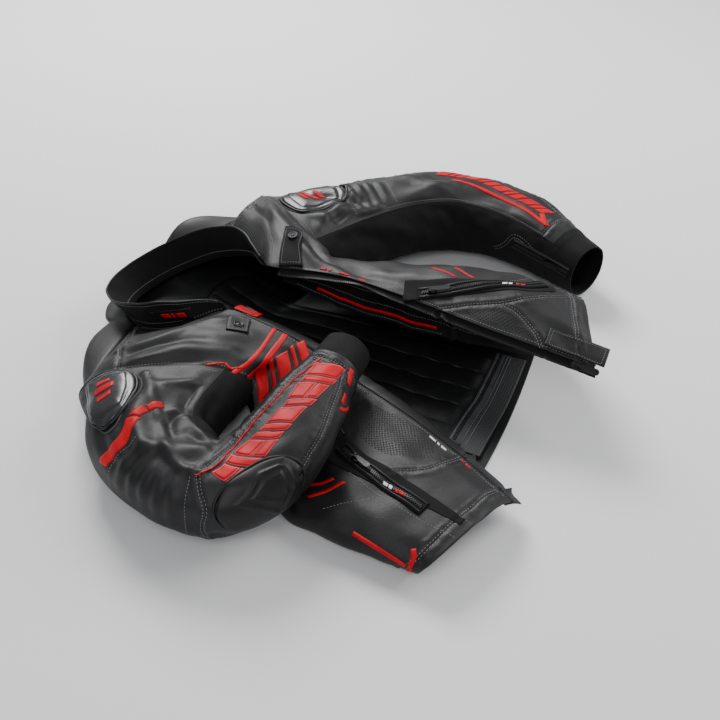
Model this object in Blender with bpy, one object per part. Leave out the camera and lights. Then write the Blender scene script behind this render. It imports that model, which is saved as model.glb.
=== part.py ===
"""A leather motorcycle jacket, laid on its back with the front open.

Metres, +Z up. +X runs from the neck to the hem, +Y towards the wearer's left sleeve.
The jacket rests on the plane z = 0. Each sewn piece is one closed wall, made from a smooth
surface whose sections stand in the short tables below.
"""

import math
from collections import namedtuple

import bmesh
import bpy
import numpy as np

# Driving sizes of the cut
LEATHER = 0.0026
SOFT_CLOTH = 0.0022
LINING = 0.0014
ARMHOLE_GAP = 0.0013
COLLAR_HEIGHT = 0.050
COLLAR_END_HEIGHT = 0.012
COLLAR_FLARE = 0.18
COLLAR_TAPER = 0.16
CUFF_START = 0.905
FLAP_WIDTH = 0.026
FACING_DROP = 0.068
FACING_START = 0.30
FLAP_START = 0.335
ZIP_START = 0.31

# The neck seam is a rising oval. Its angle is 0 at the nape, negative on the right.
NECK_CENTRE = (-0.255, 0.033)
NECK_BACK = 0.102
NECK_FRONT_RIGHT = 0.098
NECK_FRONT_LEFT = 0.122
NECK_HALF_WIDTH = 0.085
NECK_NAPE_Z = 0.024
NECK_FRONT_RIGHT_Z = 0.095
NECK_FRONT_LEFT_Z = 0.132
NECK_SHOULDER_ANGLE = 62
NECK_END_RIGHT = -151
NECK_END_LEFT = 158
NECK_AXIS = (-0.60, 0.0, 0.80)

# One row for each ring of a sleeve, from the armhole to the cuff's end. Heading is the way the
# sleeve runs, in degrees from +X. Boxy is the roundness of the ring: 2 is an ellipse.
Ring = namedtuple("Ring", "x y z heading half_width half_height boxy")
RIGHT_RINGS = [
    Ring(-0.177, -0.158, 0.051, -60, 0.114, 0.049, 2.3),
    Ring(-0.162, -0.205, 0.052, -66, 0.087, 0.050, 2.3),
    Ring(-0.138, -0.246, 0.052, -52, 0.074, 0.050, 2.4),
    Ring(-0.090, -0.275, 0.053, -18, 0.064, 0.050, 2.4),
    Ring(-0.030, -0.284, 0.058, 17, 0.061, 0.048, 2.4),
    Ring(0.008, -0.248, 0.069, 58, 0.058, 0.044, 2.4),
    Ring(0.024, -0.196, 0.082, 80, 0.054, 0.040, 2.4),
    Ring(0.025, -0.134, 0.093, 87, 0.047, 0.035, 2.3),
    Ring(0.025, -0.074, 0.096, 88, 0.036, 0.030, 2.2),
    Ring(0.026, -0.025, 0.098, 87, 0.032, 0.027, 2.2),
]
LEFT_RINGS = [
    Ring(-0.186, 0.204, 0.066, 58, 0.104, 0.064, 2.5),
    Ring(-0.153, 0.246, 0.064, 54, 0.086, 0.062, 2.4),
    Ring(-0.113, 0.304, 0.063, 50, 0.073, 0.060, 2.2),
    Ring(-0.064, 0.366, 0.063, 42, 0.068, 0.058, 2.2),
    Ring(-0.004, 0.411, 0.062, 28, 0.066, 0.057, 2.2),
    Ring(0.060, 0.424, 0.060, 6, 0.063, 0.055, 2.2),
    Ring(0.124, 0.416, 0.058, -16, 0.058, 0.052, 2.2),
    Ring(0.177, 0.394, 0.056, -24, 0.050, 0.048, 2.1),
    Ring(0.215, 0.376, 0.052, -25, 0.042, 0.044, 2.1),
    Ring(0.252, 0.358, 0.050, -25, 0.037, 0.040, 2.1),
]

# One row for each rib of a front, from the shoulder seam to the hem. A rib is a soft curve from
# the zip or neck edge to the armhole or side seam. It stands above the straight line between
# them by edge_rise and side_rise at its thirds, and bulges outwards by edge_out and side_out.
Rib = namedtuple("Rib", "edge side edge_rise edge_out side_rise side_out")
ON_FLOOR = LEATHER / 2


def neck_point(angle):
    """A point of the neck seam at this angle in degrees from the nape."""
    turn = math.radians(angle)
    front = NECK_FRONT_LEFT if angle > 0 else NECK_FRONT_RIGHT
    reach = NECK_BACK if abs(angle) < 90 else front
    front_z = NECK_FRONT_LEFT_Z if angle > 0 else NECK_FRONT_RIGHT_Z
    x = NECK_CENTRE[0] - reach * math.cos(turn)
    y = NECK_CENTRE[1] + NECK_HALF_WIDTH * math.sin(turn)
    z = NECK_NAPE_Z + (front_z - NECK_NAPE_Z) * (1 - math.cos(turn)) / 2
    return (x, y, z)


def rounded(value, boxy):
    """The sine or cosine of a ring that is boxier than an ellipse."""
    return math.copysign(abs(value) ** (2 / boxy), value)


def ring_point(ring, angle, inner_side):
    """A point of a sleeve's ring. The angle is 0 on the armpit's side and 90 on top."""
    turn = math.radians(angle)
    heading = math.radians(ring.heading)
    side = inner_side * ring.half_width * rounded(math.cos(turn), ring.boxy)
    up = ring.half_height * rounded(math.sin(turn), ring.boxy)
    return (
        ring.x - math.sin(heading) * side,
        ring.y + math.cos(heading) * side,
        ring.z + up,
    )


def right_armhole(angle):
    return ring_point(RIGHT_RINGS[0], angle, 1)


def left_armhole(angle):
    return ring_point(LEFT_RINGS[0], angle, -1)


RIGHT_RIBS = [
    Rib(neck_point(-62), right_armhole(180), 0.010, 0.0, 0.012, 0.0),
    Rib(neck_point(-88), right_armhole(150), 0.022, 0.0, 0.020, 0.0),
    Rib(neck_point(-118), right_armhole(120), 0.020, 0.0, 0.016, 0.0),
    Rib(neck_point(-151), right_armhole(90), 0.008, 0.0, 0.010, 0.0),
    Rib((-0.120, -0.010, 0.088), right_armhole(60), 0.002, 0.0, 0.006, 0.0),
    Rib((-0.075, -0.013, 0.082), right_armhole(30), 0.002, 0.0, 0.004, 0.0),
    Rib((-0.030, -0.017, 0.070), right_armhole(0), 0.004, 0.0, 0.006, 0.0),
    Rib((0.030, -0.030, 0.055), (-0.035, -0.165, 0.012), 0.008, 0.0, 0.010, -0.012),
    Rib((0.095, -0.050, 0.052), (0.030, -0.235, ON_FLOOR), 0.016, -0.004, 0.022, -0.090),
    Rib((0.160, -0.074, 0.050), (0.095, -0.250, ON_FLOOR), 0.028, -0.008, 0.036, -0.115),
    Rib((0.228, -0.104, 0.047), (0.160, -0.252, ON_FLOOR), 0.034, -0.010, 0.042, -0.112),
    Rib((0.297, -0.138, 0.042), (0.222, -0.252, ON_FLOOR), 0.036, -0.012, 0.044, -0.104),
]
LEFT_RIBS = [
    Rib(neck_point(62), left_armhole(180), 0.024, 0.0, 0.028, 0.0),
    Rib(neck_point(90), left_armhole(150), 0.026, 0.0, 0.026, 0.0),
    Rib(neck_point(124), left_armhole(120), 0.020, 0.0, 0.018, 0.0),
    Rib(neck_point(158), left_armhole(90), 0.014, 0.0, 0.018, 0.0),
    Rib((-0.100, 0.074, 0.128), left_armhole(60), 0.014, 0.0, 0.016, 0.0),
    Rib((-0.055, 0.080, 0.131), left_armhole(30), 0.016, 0.0, 0.022, 0.0),
    Rib((-0.008, 0.081, 0.132), left_armhole(0), 0.020, 0.0, 0.036, 0.010),
    Rib((0.060, 0.077, 0.130), (-0.010, 0.185, 0.022), 0.054, 0.016, 0.062, 0.054),
    Rib((0.124, 0.071, 0.127), (0.050, 0.203, ON_FLOOR), 0.074, 0.020, 0.086, 0.088),
    Rib((0.188, 0.066, 0.123), (0.110, 0.207, ON_FLOOR), 0.080, 0.022, 0.098, 0.098),
    Rib((0.258, 0.066, 0.116), (0.168, 0.208, ON_FLOOR), 0.084, 0.022, 0.104, 0.098),
    Rib((0.334, 0.072, 0.102), (0.226, 0.207, ON_FLOOR), 0.084, 0.022, 0.110, 0.096),
]
ARMPIT_RIB = 6
COLLAR_END_RIB = 3
LAST_RIB = len(RIGHT_RIBS) - 1

# The back's outline: where its armholes end along its sides, and its shoulders along its top
BACK_ARMHOLE_SHARE = 0.36
BACK_SHOULDER_SHARE = 0.34
HEM_BOW = 0.016
SIDE_GAP_FULL = 0.6
TOP_RISE_POWER = 6
SIDE_RISE_POWER = 10
# The shoulders' soft fold stands this far behind the shoulder seams, and less at the nape
SHOULDER_FOLD = 0.135
NAPE_FOLD = 0.078
# The yoke stands this much higher behind the collar's left side
YOKE_PUFF = 0.030
# Where it would stand about half this high or less, the back lies quite flat
FLATTENED = 0.0008


def along(rows, share):
    """A smooth curve through rows of numbers. The share runs from 0 at the first to 1 at the last."""
    place = min(max(share, 0.0), 1.0) * (len(rows) - 1)
    first = min(int(place), len(rows) - 2)
    step = place - first
    start, end = rows[first], rows[first + 1]
    before = rows[first - 1] if first > 0 else 2 * start - end
    after = rows[first + 2] if first + 2 < len(rows) else 2 * end - start
    return 0.5 * (
        2 * start
        + (end - before) * step
        + (2 * before - 5 * start + 4 * end - after) * step**2
        + (3 * start - 3 * end + after - before) * step**3
    )


def unit(vector):
    return vector / max(np.linalg.norm(vector), 1e-9)


class Sheet:
    """A smooth cloth surface. u runs towards the hem or cuff, v across, and lift is outwards."""

    STEP = 2e-3

    def __init__(self, place, outward, wraps=False):
        self.place = place
        self.outward = outward
        self.wraps = wraps

    def mid(self, u, v):
        """The middle of the wall, kept on the floor where it would sink below it."""
        point = self.place(u, v)
        point[2] = max(point[2], ON_FLOOR)
        return point

    def slopes(self, u, v):
        """How the surface moves with u and with v."""
        low_u, high_u = max(u - self.STEP, 0.0), min(u + self.STEP, 1.0)
        low_v, high_v = v - self.STEP, v + self.STEP
        if not self.wraps:
            low_v, high_v = max(low_v, 0.0), min(high_v, 1.0)
        down = (self.mid(high_u, v) - self.mid(low_u, v)) / (high_u - low_u)
        across = (self.mid(u, high_v) - self.mid(u, low_v)) / (high_v - low_v)
        return down, across

    def normal(self, u, v):
        down, across = self.slopes(u, v)
        return self.outward * unit(np.cross(down, across))

    def at(self, u, v, lift=0.0):
        """A point of the surface, moved out. Beyond the sheet's edges it goes straight on."""
        inside_u = min(max(u, 0.0), 1.0)
        inside_v = v if self.wraps else min(max(v, 0.0), 1.0)
        down, across = self.slopes(inside_u, inside_v)
        point = self.mid(inside_u, inside_v)
        point = point + (u - inside_u) * down + (v - inside_v) * across
        point = point + lift * self.outward * unit(np.cross(down, across))
        point[2] = max(point[2], 0.0)
        return point

    def moved(self, u, v, direction):
        """The u and v reached by going this far from a point of the surface, in metres."""
        inside = (min(max(u, 0.0), 1.0), v if self.wraps else min(max(v, 0.0), 1.0))
        frame = np.array(self.slopes(*inside)).T
        step = np.linalg.lstsq(frame, direction, rcond=None)[0]
        return u + step[0], v + step[1]

    def inset(self, u, v, by_u, by_v):
        """The u and v after going by_u metres down and by_v metres across."""
        down, across = self.slopes(min(max(u, 0.0), 1.0), v if self.wraps else min(max(v, 0.0), 1.0))
        return u + by_u / np.linalg.norm(down), v + by_v / np.linalg.norm(across)


def front_sheet(ribs, outward):
    """A front from its ribs. Each rib is a four-point curve from the edge to the side."""
    nets = []
    for rib in ribs:
        edge, side = np.array(rib.edge, float), np.array(rib.side, float)
        edge_pull = edge + (side - edge) / 3 + np.array([0, rib.edge_out, rib.edge_rise])
        side_pull = edge + (side - edge) * 2 / 3 + np.array([0, rib.side_out, rib.side_rise])
        nets.append(np.array([edge, edge_pull, side_pull, side]))

    def place(u, v):
        net = along(nets, u)
        w = 1 - v
        return w**3 * net[0] + 3 * w * w * v * net[1] + 3 * w * v * v * net[2] + v**3 * net[3]

    return Sheet(place, outward)


def sleeve_sheet(rings, inner_side):
    """A sleeve from its rings. v runs once round, from the armpit's side over the top."""
    rows = [np.array(ring, float) for ring in rings]

    def place(u, v):
        return np.array(ring_point(Ring(*along(rows, u)), 360 * v, inner_side))

    return Sheet(place, -inner_side, wraps=True)


RIGHT_FRONT = front_sheet(RIGHT_RIBS, -1)
LEFT_FRONT = front_sheet(LEFT_RIBS, 1)
RIGHT_SLEEVE = sleeve_sheet(RIGHT_RINGS, 1)
LEFT_SLEEVE = sleeve_sheet(LEFT_RINGS, -1)


def side_of_back(front, armhole, u):
    """The back's side line: the under half of the armhole, then the front's side seam."""
    if u < BACK_ARMHOLE_SHARE:
        return np.array(armhole(180 + 180 * u / BACK_ARMHOLE_SHARE))
    armpit = ARMPIT_RIB / LAST_RIB
    share = (u - BACK_ARMHOLE_SHARE) / (1 - BACK_ARMHOLE_SHARE)
    return front.place(armpit + (1 - armpit) * share, 1.0)


def top_of_back(v):
    """The back's top line: right shoulder seam, nape, left shoulder seam."""
    if v < BACK_SHOULDER_SHARE:
        return RIGHT_FRONT.place(0.0, 1 - v / BACK_SHOULDER_SHARE)
    if v > 1 - BACK_SHOULDER_SHARE:
        return LEFT_FRONT.place(0.0, 1 - (1 - v) / BACK_SHOULDER_SHARE)
    share = (v - BACK_SHOULDER_SHARE) / (1 - 2 * BACK_SHOULDER_SHARE)
    return np.array(neck_point(NECK_SHOULDER_ANGLE * (2 * share - 1)))


def hem_of_back(v):
    start, end = RIGHT_FRONT.place(1.0, 1.0), LEFT_FRONT.place(1.0, 1.0)
    return start + (end - start) * v + np.array([HEM_BOW * math.sin(math.pi * v), 0, 0])


def back_place(u, v):
    """The back fills its four border lines. Their height fades quickly towards the middle."""
    top, hem = top_of_back(v), hem_of_back(v)
    right = side_of_back(RIGHT_FRONT, right_armhole, u)
    left = side_of_back(LEFT_FRONT, left_armhole, u)
    corners = [top_of_back(0.0), top_of_back(1.0), hem_of_back(0.0), hem_of_back(1.0)]

    def blend(up, across_right, across_left):
        down = 1 - up
        both = across_right * right + across_left * left
        inner = up * (across_right * corners[0] + across_left * corners[1])
        outer = down * (across_right * corners[2] + across_left * corners[3])
        return up * top + down * hem + both - inner - outer

    flat = blend(1 - u, 1 - v, v)
    spread = 4 * v * (1 - v)
    fold = spread * (SHOULDER_FOLD + (NAPE_FOLD - SHOULDER_FOLD) * spread**3)
    flat[0] -= fold * 5.06 * u**0.6 * (1 - u) ** 3
    rise = blend((1 - u) ** TOP_RISE_POWER, (1 - v) ** SIDE_RISE_POWER, v**SIDE_RISE_POWER)
    puff = YOKE_PUFF * math.exp(-(((v - 0.80) / 0.14) ** 2)) * (u / 0.05) * math.exp(1 - u / 0.05)
    height = max(0.0, rise[2] - ON_FLOOR) + puff
    height = max(0.0, height - FLATTENED * math.exp(-height / FLATTENED))
    return np.array([flat[0] - 0.5 * puff, flat[1], ON_FLOOR + height])


BACK = Sheet(back_place, -1)


def neck_seam(angle):
    """The neck seam as the sewn panels really run: the fronts' neck edges, then the nape."""
    shoulder, collar_end = NECK_SHOULDER_ANGLE, COLLAR_END_RIB / LAST_RIB
    if angle > shoulder:
        return LEFT_FRONT.mid((angle - shoulder) / (NECK_END_LEFT - shoulder) * collar_end, 0.0)
    if angle < -shoulder:
        return RIGHT_FRONT.mid((angle + shoulder) / (NECK_END_RIGHT + shoulder) * collar_end, 0.0)
    return np.array(neck_point(angle))


def collar_place(u, v):
    """The collar stands on the neck seam. u runs from its right end to its left, v upwards."""
    angle = NECK_END_RIGHT + (NECK_END_LEFT - NECK_END_RIGHT) * u
    base = neck_seam(angle)
    turn = math.radians(angle)
    out = np.array([-math.cos(turn), math.sin(turn), 0.0])
    lean = unit(np.array(NECK_AXIS) + COLLAR_FLARE * out)
    end = min(1.0, min(u, 1 - u) / COLLAR_TAPER)
    height = COLLAR_END_HEIGHT + (COLLAR_HEIGHT - COLLAR_END_HEIGHT) * math.sin(end * math.pi / 2)
    return base + lean * height * v


COLLAR = Sheet(collar_place, -1)


def steps(count, start=0.0, end=1.0):
    """Evenly spaced numbers, both ends included."""
    return [start + (end - start) * number / count for number in range(count + 1)]


def as_built(sheet, us, vs):
    """The sheet as its wall's flat facets run between these u and v, for what lies on the wall."""
    grid = [[sheet.mid(u, v) for v in vs] for u in us]

    def cell(numbers, value):
        low = max(index for index in range(len(numbers) - 1) if index == 0 or numbers[index] <= value)
        return low, (value - numbers[low]) / (numbers[low + 1] - numbers[low])

    def place(u, v):
        row, down = cell(us, u)
        column, across = cell(vs, v)
        near = grid[row][column] * (1 - across) + grid[row][column + 1] * across
        far = grid[row + 1][column] * (1 - across) + grid[row + 1][column + 1] * across
        return near * (1 - down) + far * down

    return Sheet(place, sheet.outward, sheet.wraps)


def dense_ends(count):
    """Numbers from 0 to 1, closer together near both ends."""
    return [0.5 * step + 0.25 * (1 - math.cos(math.pi * step)) for step in steps(count)]


def with_more(numbers, start, end, count):
    """The numbers outside a stretch, and evenly spaced ones inside it."""
    outside = [number for number in numbers if number < start - 0.01 or number > end + 0.01]
    return sorted(outside + steps(count, start, end))


# A soft fold of the cloth from one u, v to another. Width and height are in metres.
Fold = namedtuple("Fold", "u v to_u to_v width height")
RIGHT_FRONT_FOLDS = [
    Fold(0.22, 0.90, 0.37, 0.72, 0.018, 0.009),
    Fold(0.30, 0.55, 0.38, 0.30, 0.016, 0.004),
    Fold(0.72, 0.45, 0.93, 0.60, 0.016, 0.005),
    Fold(0.60, 0.25, 0.74, 0.30, 0.016, 0.004),
]
LEFT_FRONT_FOLDS = [
    Fold(0.62, 0.20, 0.92, 0.30, 0.018, 0.005),
    Fold(0.44, 0.42, 0.58, 0.60, 0.018, 0.006),
    Fold(0.84, 0.62, 0.97, 0.40, 0.020, 0.006),
]
RIGHT_SLEEVE_FOLDS = [
    Fold(0.10, 0.24, 0.30, 0.30, 0.014, 0.009),
    Fold(0.30, 0.30, 0.42, 0.22, 0.012, 0.007),
    Fold(0.14, 0.44, 0.26, 0.55, 0.020, 0.006),
    Fold(0.44, 0.20, 0.60, 0.24, 0.014, -0.004),
]
LEFT_SLEEVE_FOLDS = [
    Fold(0.06, 0.17, 0.22, 0.24, 0.014, 0.007),
    Fold(0.12, 0.30, 0.30, 0.26, 0.016, 0.006),
    Fold(0.30, 0.16, 0.46, 0.22, 0.016, 0.006),
    Fold(0.34, 0.30, 0.44, 0.18, 0.014, 0.005),
]
# Accordion pleats across a sleeve's outer side, between u and to_u and around the middle v
Pleats = namedtuple("Pleats", "u to_u count v half_width height")
RIGHT_PLEATS = Pleats(0.295, 0.415, 5, 0.40, 0.12, 0.0030)
LEFT_PLEATS = Pleats(0.190, 0.290, 4, 0.27, 0.12, 0.0030)


def folds_of(sheet, folds, pleats=None):
    """How far the cloth stands out of its sheet at u, v. It stays on the sheet at its seams."""
    scales = []
    for fold in folds:
        down, across = sheet.slopes((fold.u + fold.to_u) / 2, (fold.v + fold.to_v) / 2)
        scales.append(np.array([np.linalg.norm(down), np.linalg.norm(across)]))

    def rise(u, v):
        height = 0.0
        for fold, scale in zip(folds, scales):
            start = np.array([fold.u, fold.v]) * scale
            run = np.array([fold.to_u, fold.to_v]) * scale - start
            spot = np.array([u, v]) * scale - start
            share = min(max(spot @ run / (run @ run), 0.0), 1.0)
            away = np.linalg.norm(spot - share * run) / fold.width
            ends = 0.55 + 0.45 * math.sin(math.pi * share)
            height += fold.height * ends * math.exp(-(away**2))
        if pleats and pleats.u < u < pleats.to_u:
            share = (u - pleats.u) / (pleats.to_u - pleats.u)
            side = max(0.0, 1 - ((v - pleats.v) / pleats.half_width) ** 2)
            height += pleats.height * side * math.sin(math.pi * pleats.count * share) ** 2
        return height

    return rise


def folded(sheet, rise, u_seams, v_seams, reach):
    """The sheet with its folds, flattened towards the seams at these u and v."""

    def place(u, v):
        gaps = [abs(u - seam) for seam in u_seams] + [abs(v - seam) for seam in v_seams]
        fade = min(1.0, min(gaps) / reach)
        return sheet.at(u, v, rise(u, v) * fade * fade * (3 - 2 * fade))

    return Sheet(place, sheet.outward, sheet.wraps)


SLEEVE_SEAMS = (48 / 360, 285 / 360)
RIGHT_FRONT_SHEET = folded(
    RIGHT_FRONT, folds_of(RIGHT_FRONT, RIGHT_FRONT_FOLDS), (0.0,), (0.0, 1.0), 0.12
)
LEFT_FRONT_SHEET = folded(
    LEFT_FRONT, folds_of(LEFT_FRONT, LEFT_FRONT_FOLDS), (0.0,), (0.0, 1.0), 0.12
)
RIGHT_SLEEVE_SHEET = folded(
    RIGHT_SLEEVE,
    folds_of(RIGHT_SLEEVE, RIGHT_SLEEVE_FOLDS, RIGHT_PLEATS),
    (0.0, CUFF_START),
    SLEEVE_SEAMS,
    0.03,
)
LEFT_SLEEVE_SHEET = folded(
    LEFT_SLEEVE,
    folds_of(LEFT_SLEEVE, LEFT_SLEEVE_FOLDS, LEFT_PLEATS),
    (0.0, CUFF_START),
    SLEEVE_SEAMS,
    0.03,
)


def add_mesh(name, points, faces, material):
    """One closed mesh with its faces turned outwards."""
    mesh = bpy.data.meshes.new(name)
    mesh.from_pydata([tuple(point) for point in points], [], faces)
    shape = bmesh.new()
    shape.from_mesh(mesh)
    bmesh.ops.recalc_face_normals(shape, faces=shape.faces)
    shape.to_mesh(mesh)
    shape.free()
    mesh.materials.append(material)
    piece = bpy.data.objects.new(name, mesh)
    bpy.context.scene.collection.objects.link(piece)
    return piece


def closed_grid(outer, inner, wraps=False):
    """Points and faces of a closed wall between two grids of points."""
    rows, columns = len(outer), len(outer[0])
    points = [point for row in outer for point in row] + [point for row in inner for point in row]
    offset = rows * columns
    faces = []
    spans = columns if wraps else columns - 1
    for row in range(rows - 1):
        for column in range(spans):
            right = (column + 1) % columns
            quad = [row * columns + column, row * columns + right]
            quad += [(row + 1) * columns + right, (row + 1) * columns + column]
            faces.append(quad)
            faces.append([offset + index for index in reversed(quad)])
    borders = []
    for column in range(spans):
        right = (column + 1) % columns
        borders.append((column, right))
        borders.append(((rows - 1) * columns + right, (rows - 1) * columns + column))
    if not wraps:
        for row in range(rows - 1):
            borders.append(((row + 1) * columns, row * columns))
            borders.append((row * columns + columns - 1, (row + 1) * columns + columns - 1))
    for first, second in borders:
        faces.append([first, offset + first, offset + second, second])
    return points, faces


def edge_sheet(front, first_u, inside, beyond, droop):
    """A strip along a front's zip edge. v runs from inside the edge to beyond it."""

    def place(u, v):
        at_u = first_u + (1 - first_u) * u
        reach = (inside + beyond) * v - inside
        point = front.at(*front.inset(at_u, 0.0, 0.0, -reach))
        point[2] -= droop * (max(reach, 0.0) / beyond) ** 2
        return point

    return Sheet(place, -front.outward)


def facing_place(u, v):
    """The left facing hangs from the inside of the zip edge, bowed away from the opening."""
    at_u = FACING_START + (1 - FACING_START) * u
    top = LEFT_FRONT.at(*LEFT_FRONT.inset(at_u, 0.0, 0.0, 0.006), -0.0042)
    drop = FACING_DROP * (0.55 + 0.45 * min(1.0, u / 0.25)) * (1 - 0.78 * max(0.0, (u - 0.5) / 0.5) ** 1.3)
    away = 0.016 * math.sin(v * math.pi * 0.6)
    return top + np.array([0.0, away, -drop * v])


RIGHT_FLAP = edge_sheet(RIGHT_FRONT, FLAP_START, 0.008, FLAP_WIDTH, 0.006)
RIGHT_TAPE = edge_sheet(RIGHT_FRONT, ZIP_START, 0.008, 0.007, 0.0)
LEFT_TAPE = edge_sheet(LEFT_FRONT, ZIP_START, 0.008, 0.012, 0.0)
FACING = Sheet(facing_place, 1)


def wall(name, sheet, us, vs, material, low, high, gaps=(0, 0, 0, 0), wraps=False, opens=False):
    """A cloth wall on a sheet, from lift low to lift high.

    The gaps keep it off its seams, in metres: at the first u, last u, first v and last v.
    The last one opens slowly from the first u, since the armhole's wall needs less than the side's.
    """
    outer, inner = [], []
    for row, u in enumerate(us):
        outer_row, inner_row = [], []
        for column, v in enumerate(vs):
            by_u = gaps[0] if row == 0 else -gaps[1] if row == len(us) - 1 else 0
            side_gap = gaps[3] * min(1.0, u / SIDE_GAP_FULL) ** 3 if opens else gaps[3]
            by_v = gaps[2] if column == 0 else -side_gap if column == len(vs) - 1 else 0
            at_u, at_v = sheet.inset(u, v, by_u, by_v)
            outer_row.append(sheet.at(at_u, at_v, high))
            inner_row.append(sheet.at(at_u, at_v, low))
        outer.append(outer_row)
        inner.append(inner_row)
    points, faces = closed_grid(outer, inner, wraps)
    return add_mesh(name, points, faces, material)


def pad(name, sheet, centre, radii, material, low, edge, dome, count=8, tilt=0.0, ridges=0):
    """A domed shell cup on a sheet, with a rounded outline. Radii are in metres.

    Its long radius lies along u, turned by tilt degrees. Ridges crossing it stand 1.5 mm high.
    """
    turn = math.radians(tilt)
    down, across = sheet.slopes(*centre)
    down, across = unit(down), unit(across)
    long_way = math.cos(turn) * down + math.sin(turn) * across
    short_way = -math.sin(turn) * down + math.cos(turn) * across
    outer, inner = [], []
    for a in steps(count, -1.0, 1.0):
        outer_row, inner_row = [], []
        for b in steps(count, -1.0, 1.0):
            x = a * math.sqrt(1 - 0.42 * b * b)
            y = b * math.sqrt(1 - 0.42 * a * a)
            reach = max(abs(a), abs(b))
            u, v = sheet.moved(*centre, long_way * x * radii[0] + short_way * y * radii[1])
            height = edge + dome * (1 - reach**2) ** 0.6
            if ridges and reach < 0.8:
                height += 0.0015 * math.cos(math.pi * ridges * a)
            outer_row.append(sheet.at(u, v, low + height))
            inner_row.append(sheet.at(u, v, low))
        outer.append(outer_row)
        inner.append(inner_row)
    points, faces = closed_grid(outer, inner)
    return add_mesh(name, points, faces, material)


def ribbon(name, sheet, start, end, width, material, low, high, count=8):
    """A flat strip lying on a sheet from one u, v to another, between two lifts."""
    outer, inner = [], []
    for share in steps(count):
        u = start[0] + (end[0] - start[0]) * share
        v = start[1] + (end[1] - start[1]) * share
        frame = sheet.slopes(min(max(u, 0.0), 1.0), v if sheet.wraps else min(max(v, 0.0), 1.0))
        way = unit(frame[0] * (end[0] - start[0]) + frame[1] * (end[1] - start[1]))
        side = unit(np.cross(np.cross(frame[0], frame[1]), way))
        parts = steps(4 if width > 0.025 else 2, -0.5, 0.5)
        spots = [sheet.moved(u, v, side * width * part) for part in parts]
        outer.append([sheet.at(*spot, high) for spot in spots])
        inner.append([sheet.at(*spot, low) for spot in spots])
    points, faces = closed_grid(outer, inner)
    return add_mesh(name, points, faces, material)


class Spot:
    """A small frame on a sheet for hard pieces. x runs the given way, z stands outwards."""

    def __init__(self, sheet, start, towards, lift, scale=1.0):
        down, across = sheet.slopes(*start)
        self.z = sheet.outward * unit(np.cross(down, across))
        way = down * (towards[0] - start[0]) + across * (towards[1] - start[1])
        self.x = unit(way - (way @ self.z) * self.z)
        self.y = np.cross(self.z, self.x)
        self.origin = sheet.at(*start, lift)
        self.scale = scale

    def world(self, x, y, z):
        """The place of a local point given in millimetres."""
        local = self.x * x + self.y * y + self.z * z
        return self.origin + local * self.scale / 1000

    def box(self, name, material, x, y, z):
        """A box between local limits in millimetres."""
        points = [self.world(a, b, c) for a in x for b in y for c in z]
        faces = [(0, 1, 3, 2), (4, 6, 7, 5), (0, 4, 5, 1), (2, 3, 7, 6), (0, 2, 6, 4), (1, 5, 7, 3)]
        return add_mesh(name, points, faces, material)

    def plate(self, name, material, outline, z):
        """A flat plate with this outline, between two heights."""
        count = len(outline)
        points = [self.world(a, b, height) for height in z for a, b in outline]
        faces = [list(range(count))[::-1], list(range(count, 2 * count))]
        for index in range(count):
            after = (index + 1) % count
            faces.append([index, after, count + after, count + index])
        return add_mesh(name, points, faces, material)

    def pin(self, name, material, x, z, radius, y, sides=12):
        """A round pin across the frame at a local x and z."""
        turns = [2 * math.pi * (side + 0.5) / sides for side in range(sides)]
        ring = [(x + radius * math.cos(turn), z + radius * math.sin(turn)) for turn in turns]
        points = [self.world(a, across, b) for across in y for a, b in ring]
        faces = [list(range(sides)), list(range(sides, 2 * sides))[::-1]]
        for index in range(sides):
            after = (index + 1) % sides
            faces.append([index, sides + index, sides + after, after])
        return add_mesh(name, points, faces, material)


def combined(base, others, operation):
    """The base joined with or cut by the other pieces, which are then removed."""
    for other in others:
        change = base.modifiers.new(other.name, "BOOLEAN")
        change.operation = operation
        change.object = other
        change.solver = "EXACT"
        bpy.context.view_layer.update()
        graph = bpy.context.evaluated_depsgraph_get()
        mesh = bpy.data.meshes.new_from_object(base.evaluated_get(graph))
        base.modifiers.clear()
        base.data = mesh
        bpy.data.objects.remove(other, do_unlink=True)
    return base


PULL_OUTLINE = [
    (-3.4, -1.6), (-3.4, 1.6), (-7.0, 3.2), (-22.5, 3.8), (-25.0, 2.6),
    (-25.8, 0.0), (-25.0, -2.6), (-22.5, -3.8), (-7.0, -3.2),
]
SLIDER_OUTLINE = [
    (6.2, -2.2), (6.2, 2.2), (3.4, 4.6), (-4.6, 4.4), (-6.0, 3.0), (-6.0, -3.0), (-4.6, -4.4), (3.4, -4.6),
]


def slider_with_pull(name, spot, metal):
    """A zip slider with a pin between two ears, and the pull tab that turns on the pin."""
    slider = spot.plate(f"{name}_slider", metal, SLIDER_OUTLINE, (0.0, 3.2))
    ears = [spot.box(f"{name}_ear_{side}", metal, (1.3, 4.7), y, (2.6, 6.8))
            for side, y in enumerate([(-3.5, -2.3), (2.3, 3.5)])]
    pin = spot.pin(f"{name}_pin", metal, 3.0, 5.6, 0.8, (-2.9, 2.9))
    combined(slider, [*ears, pin], "UNION")
    pull = spot.pin(f"{name}_pull", metal, 3.0, 5.6, 1.7, (-1.9, 1.9))
    neck = spot.box(f"{name}_neck", metal, (-4.2, 2.2), (-1.5, 1.5), (4.9, 6.3))
    tab = spot.plate(f"{name}_tab", metal, PULL_OUTLINE, (4.9, 6.3))
    combined(pull, [neck, tab], "UNION")
    combined(pull, [spot.pin(f"{name}_hole", metal, 3.0, 5.6, 1.15, (-3.0, 3.0))], "DIFFERENCE")


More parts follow.
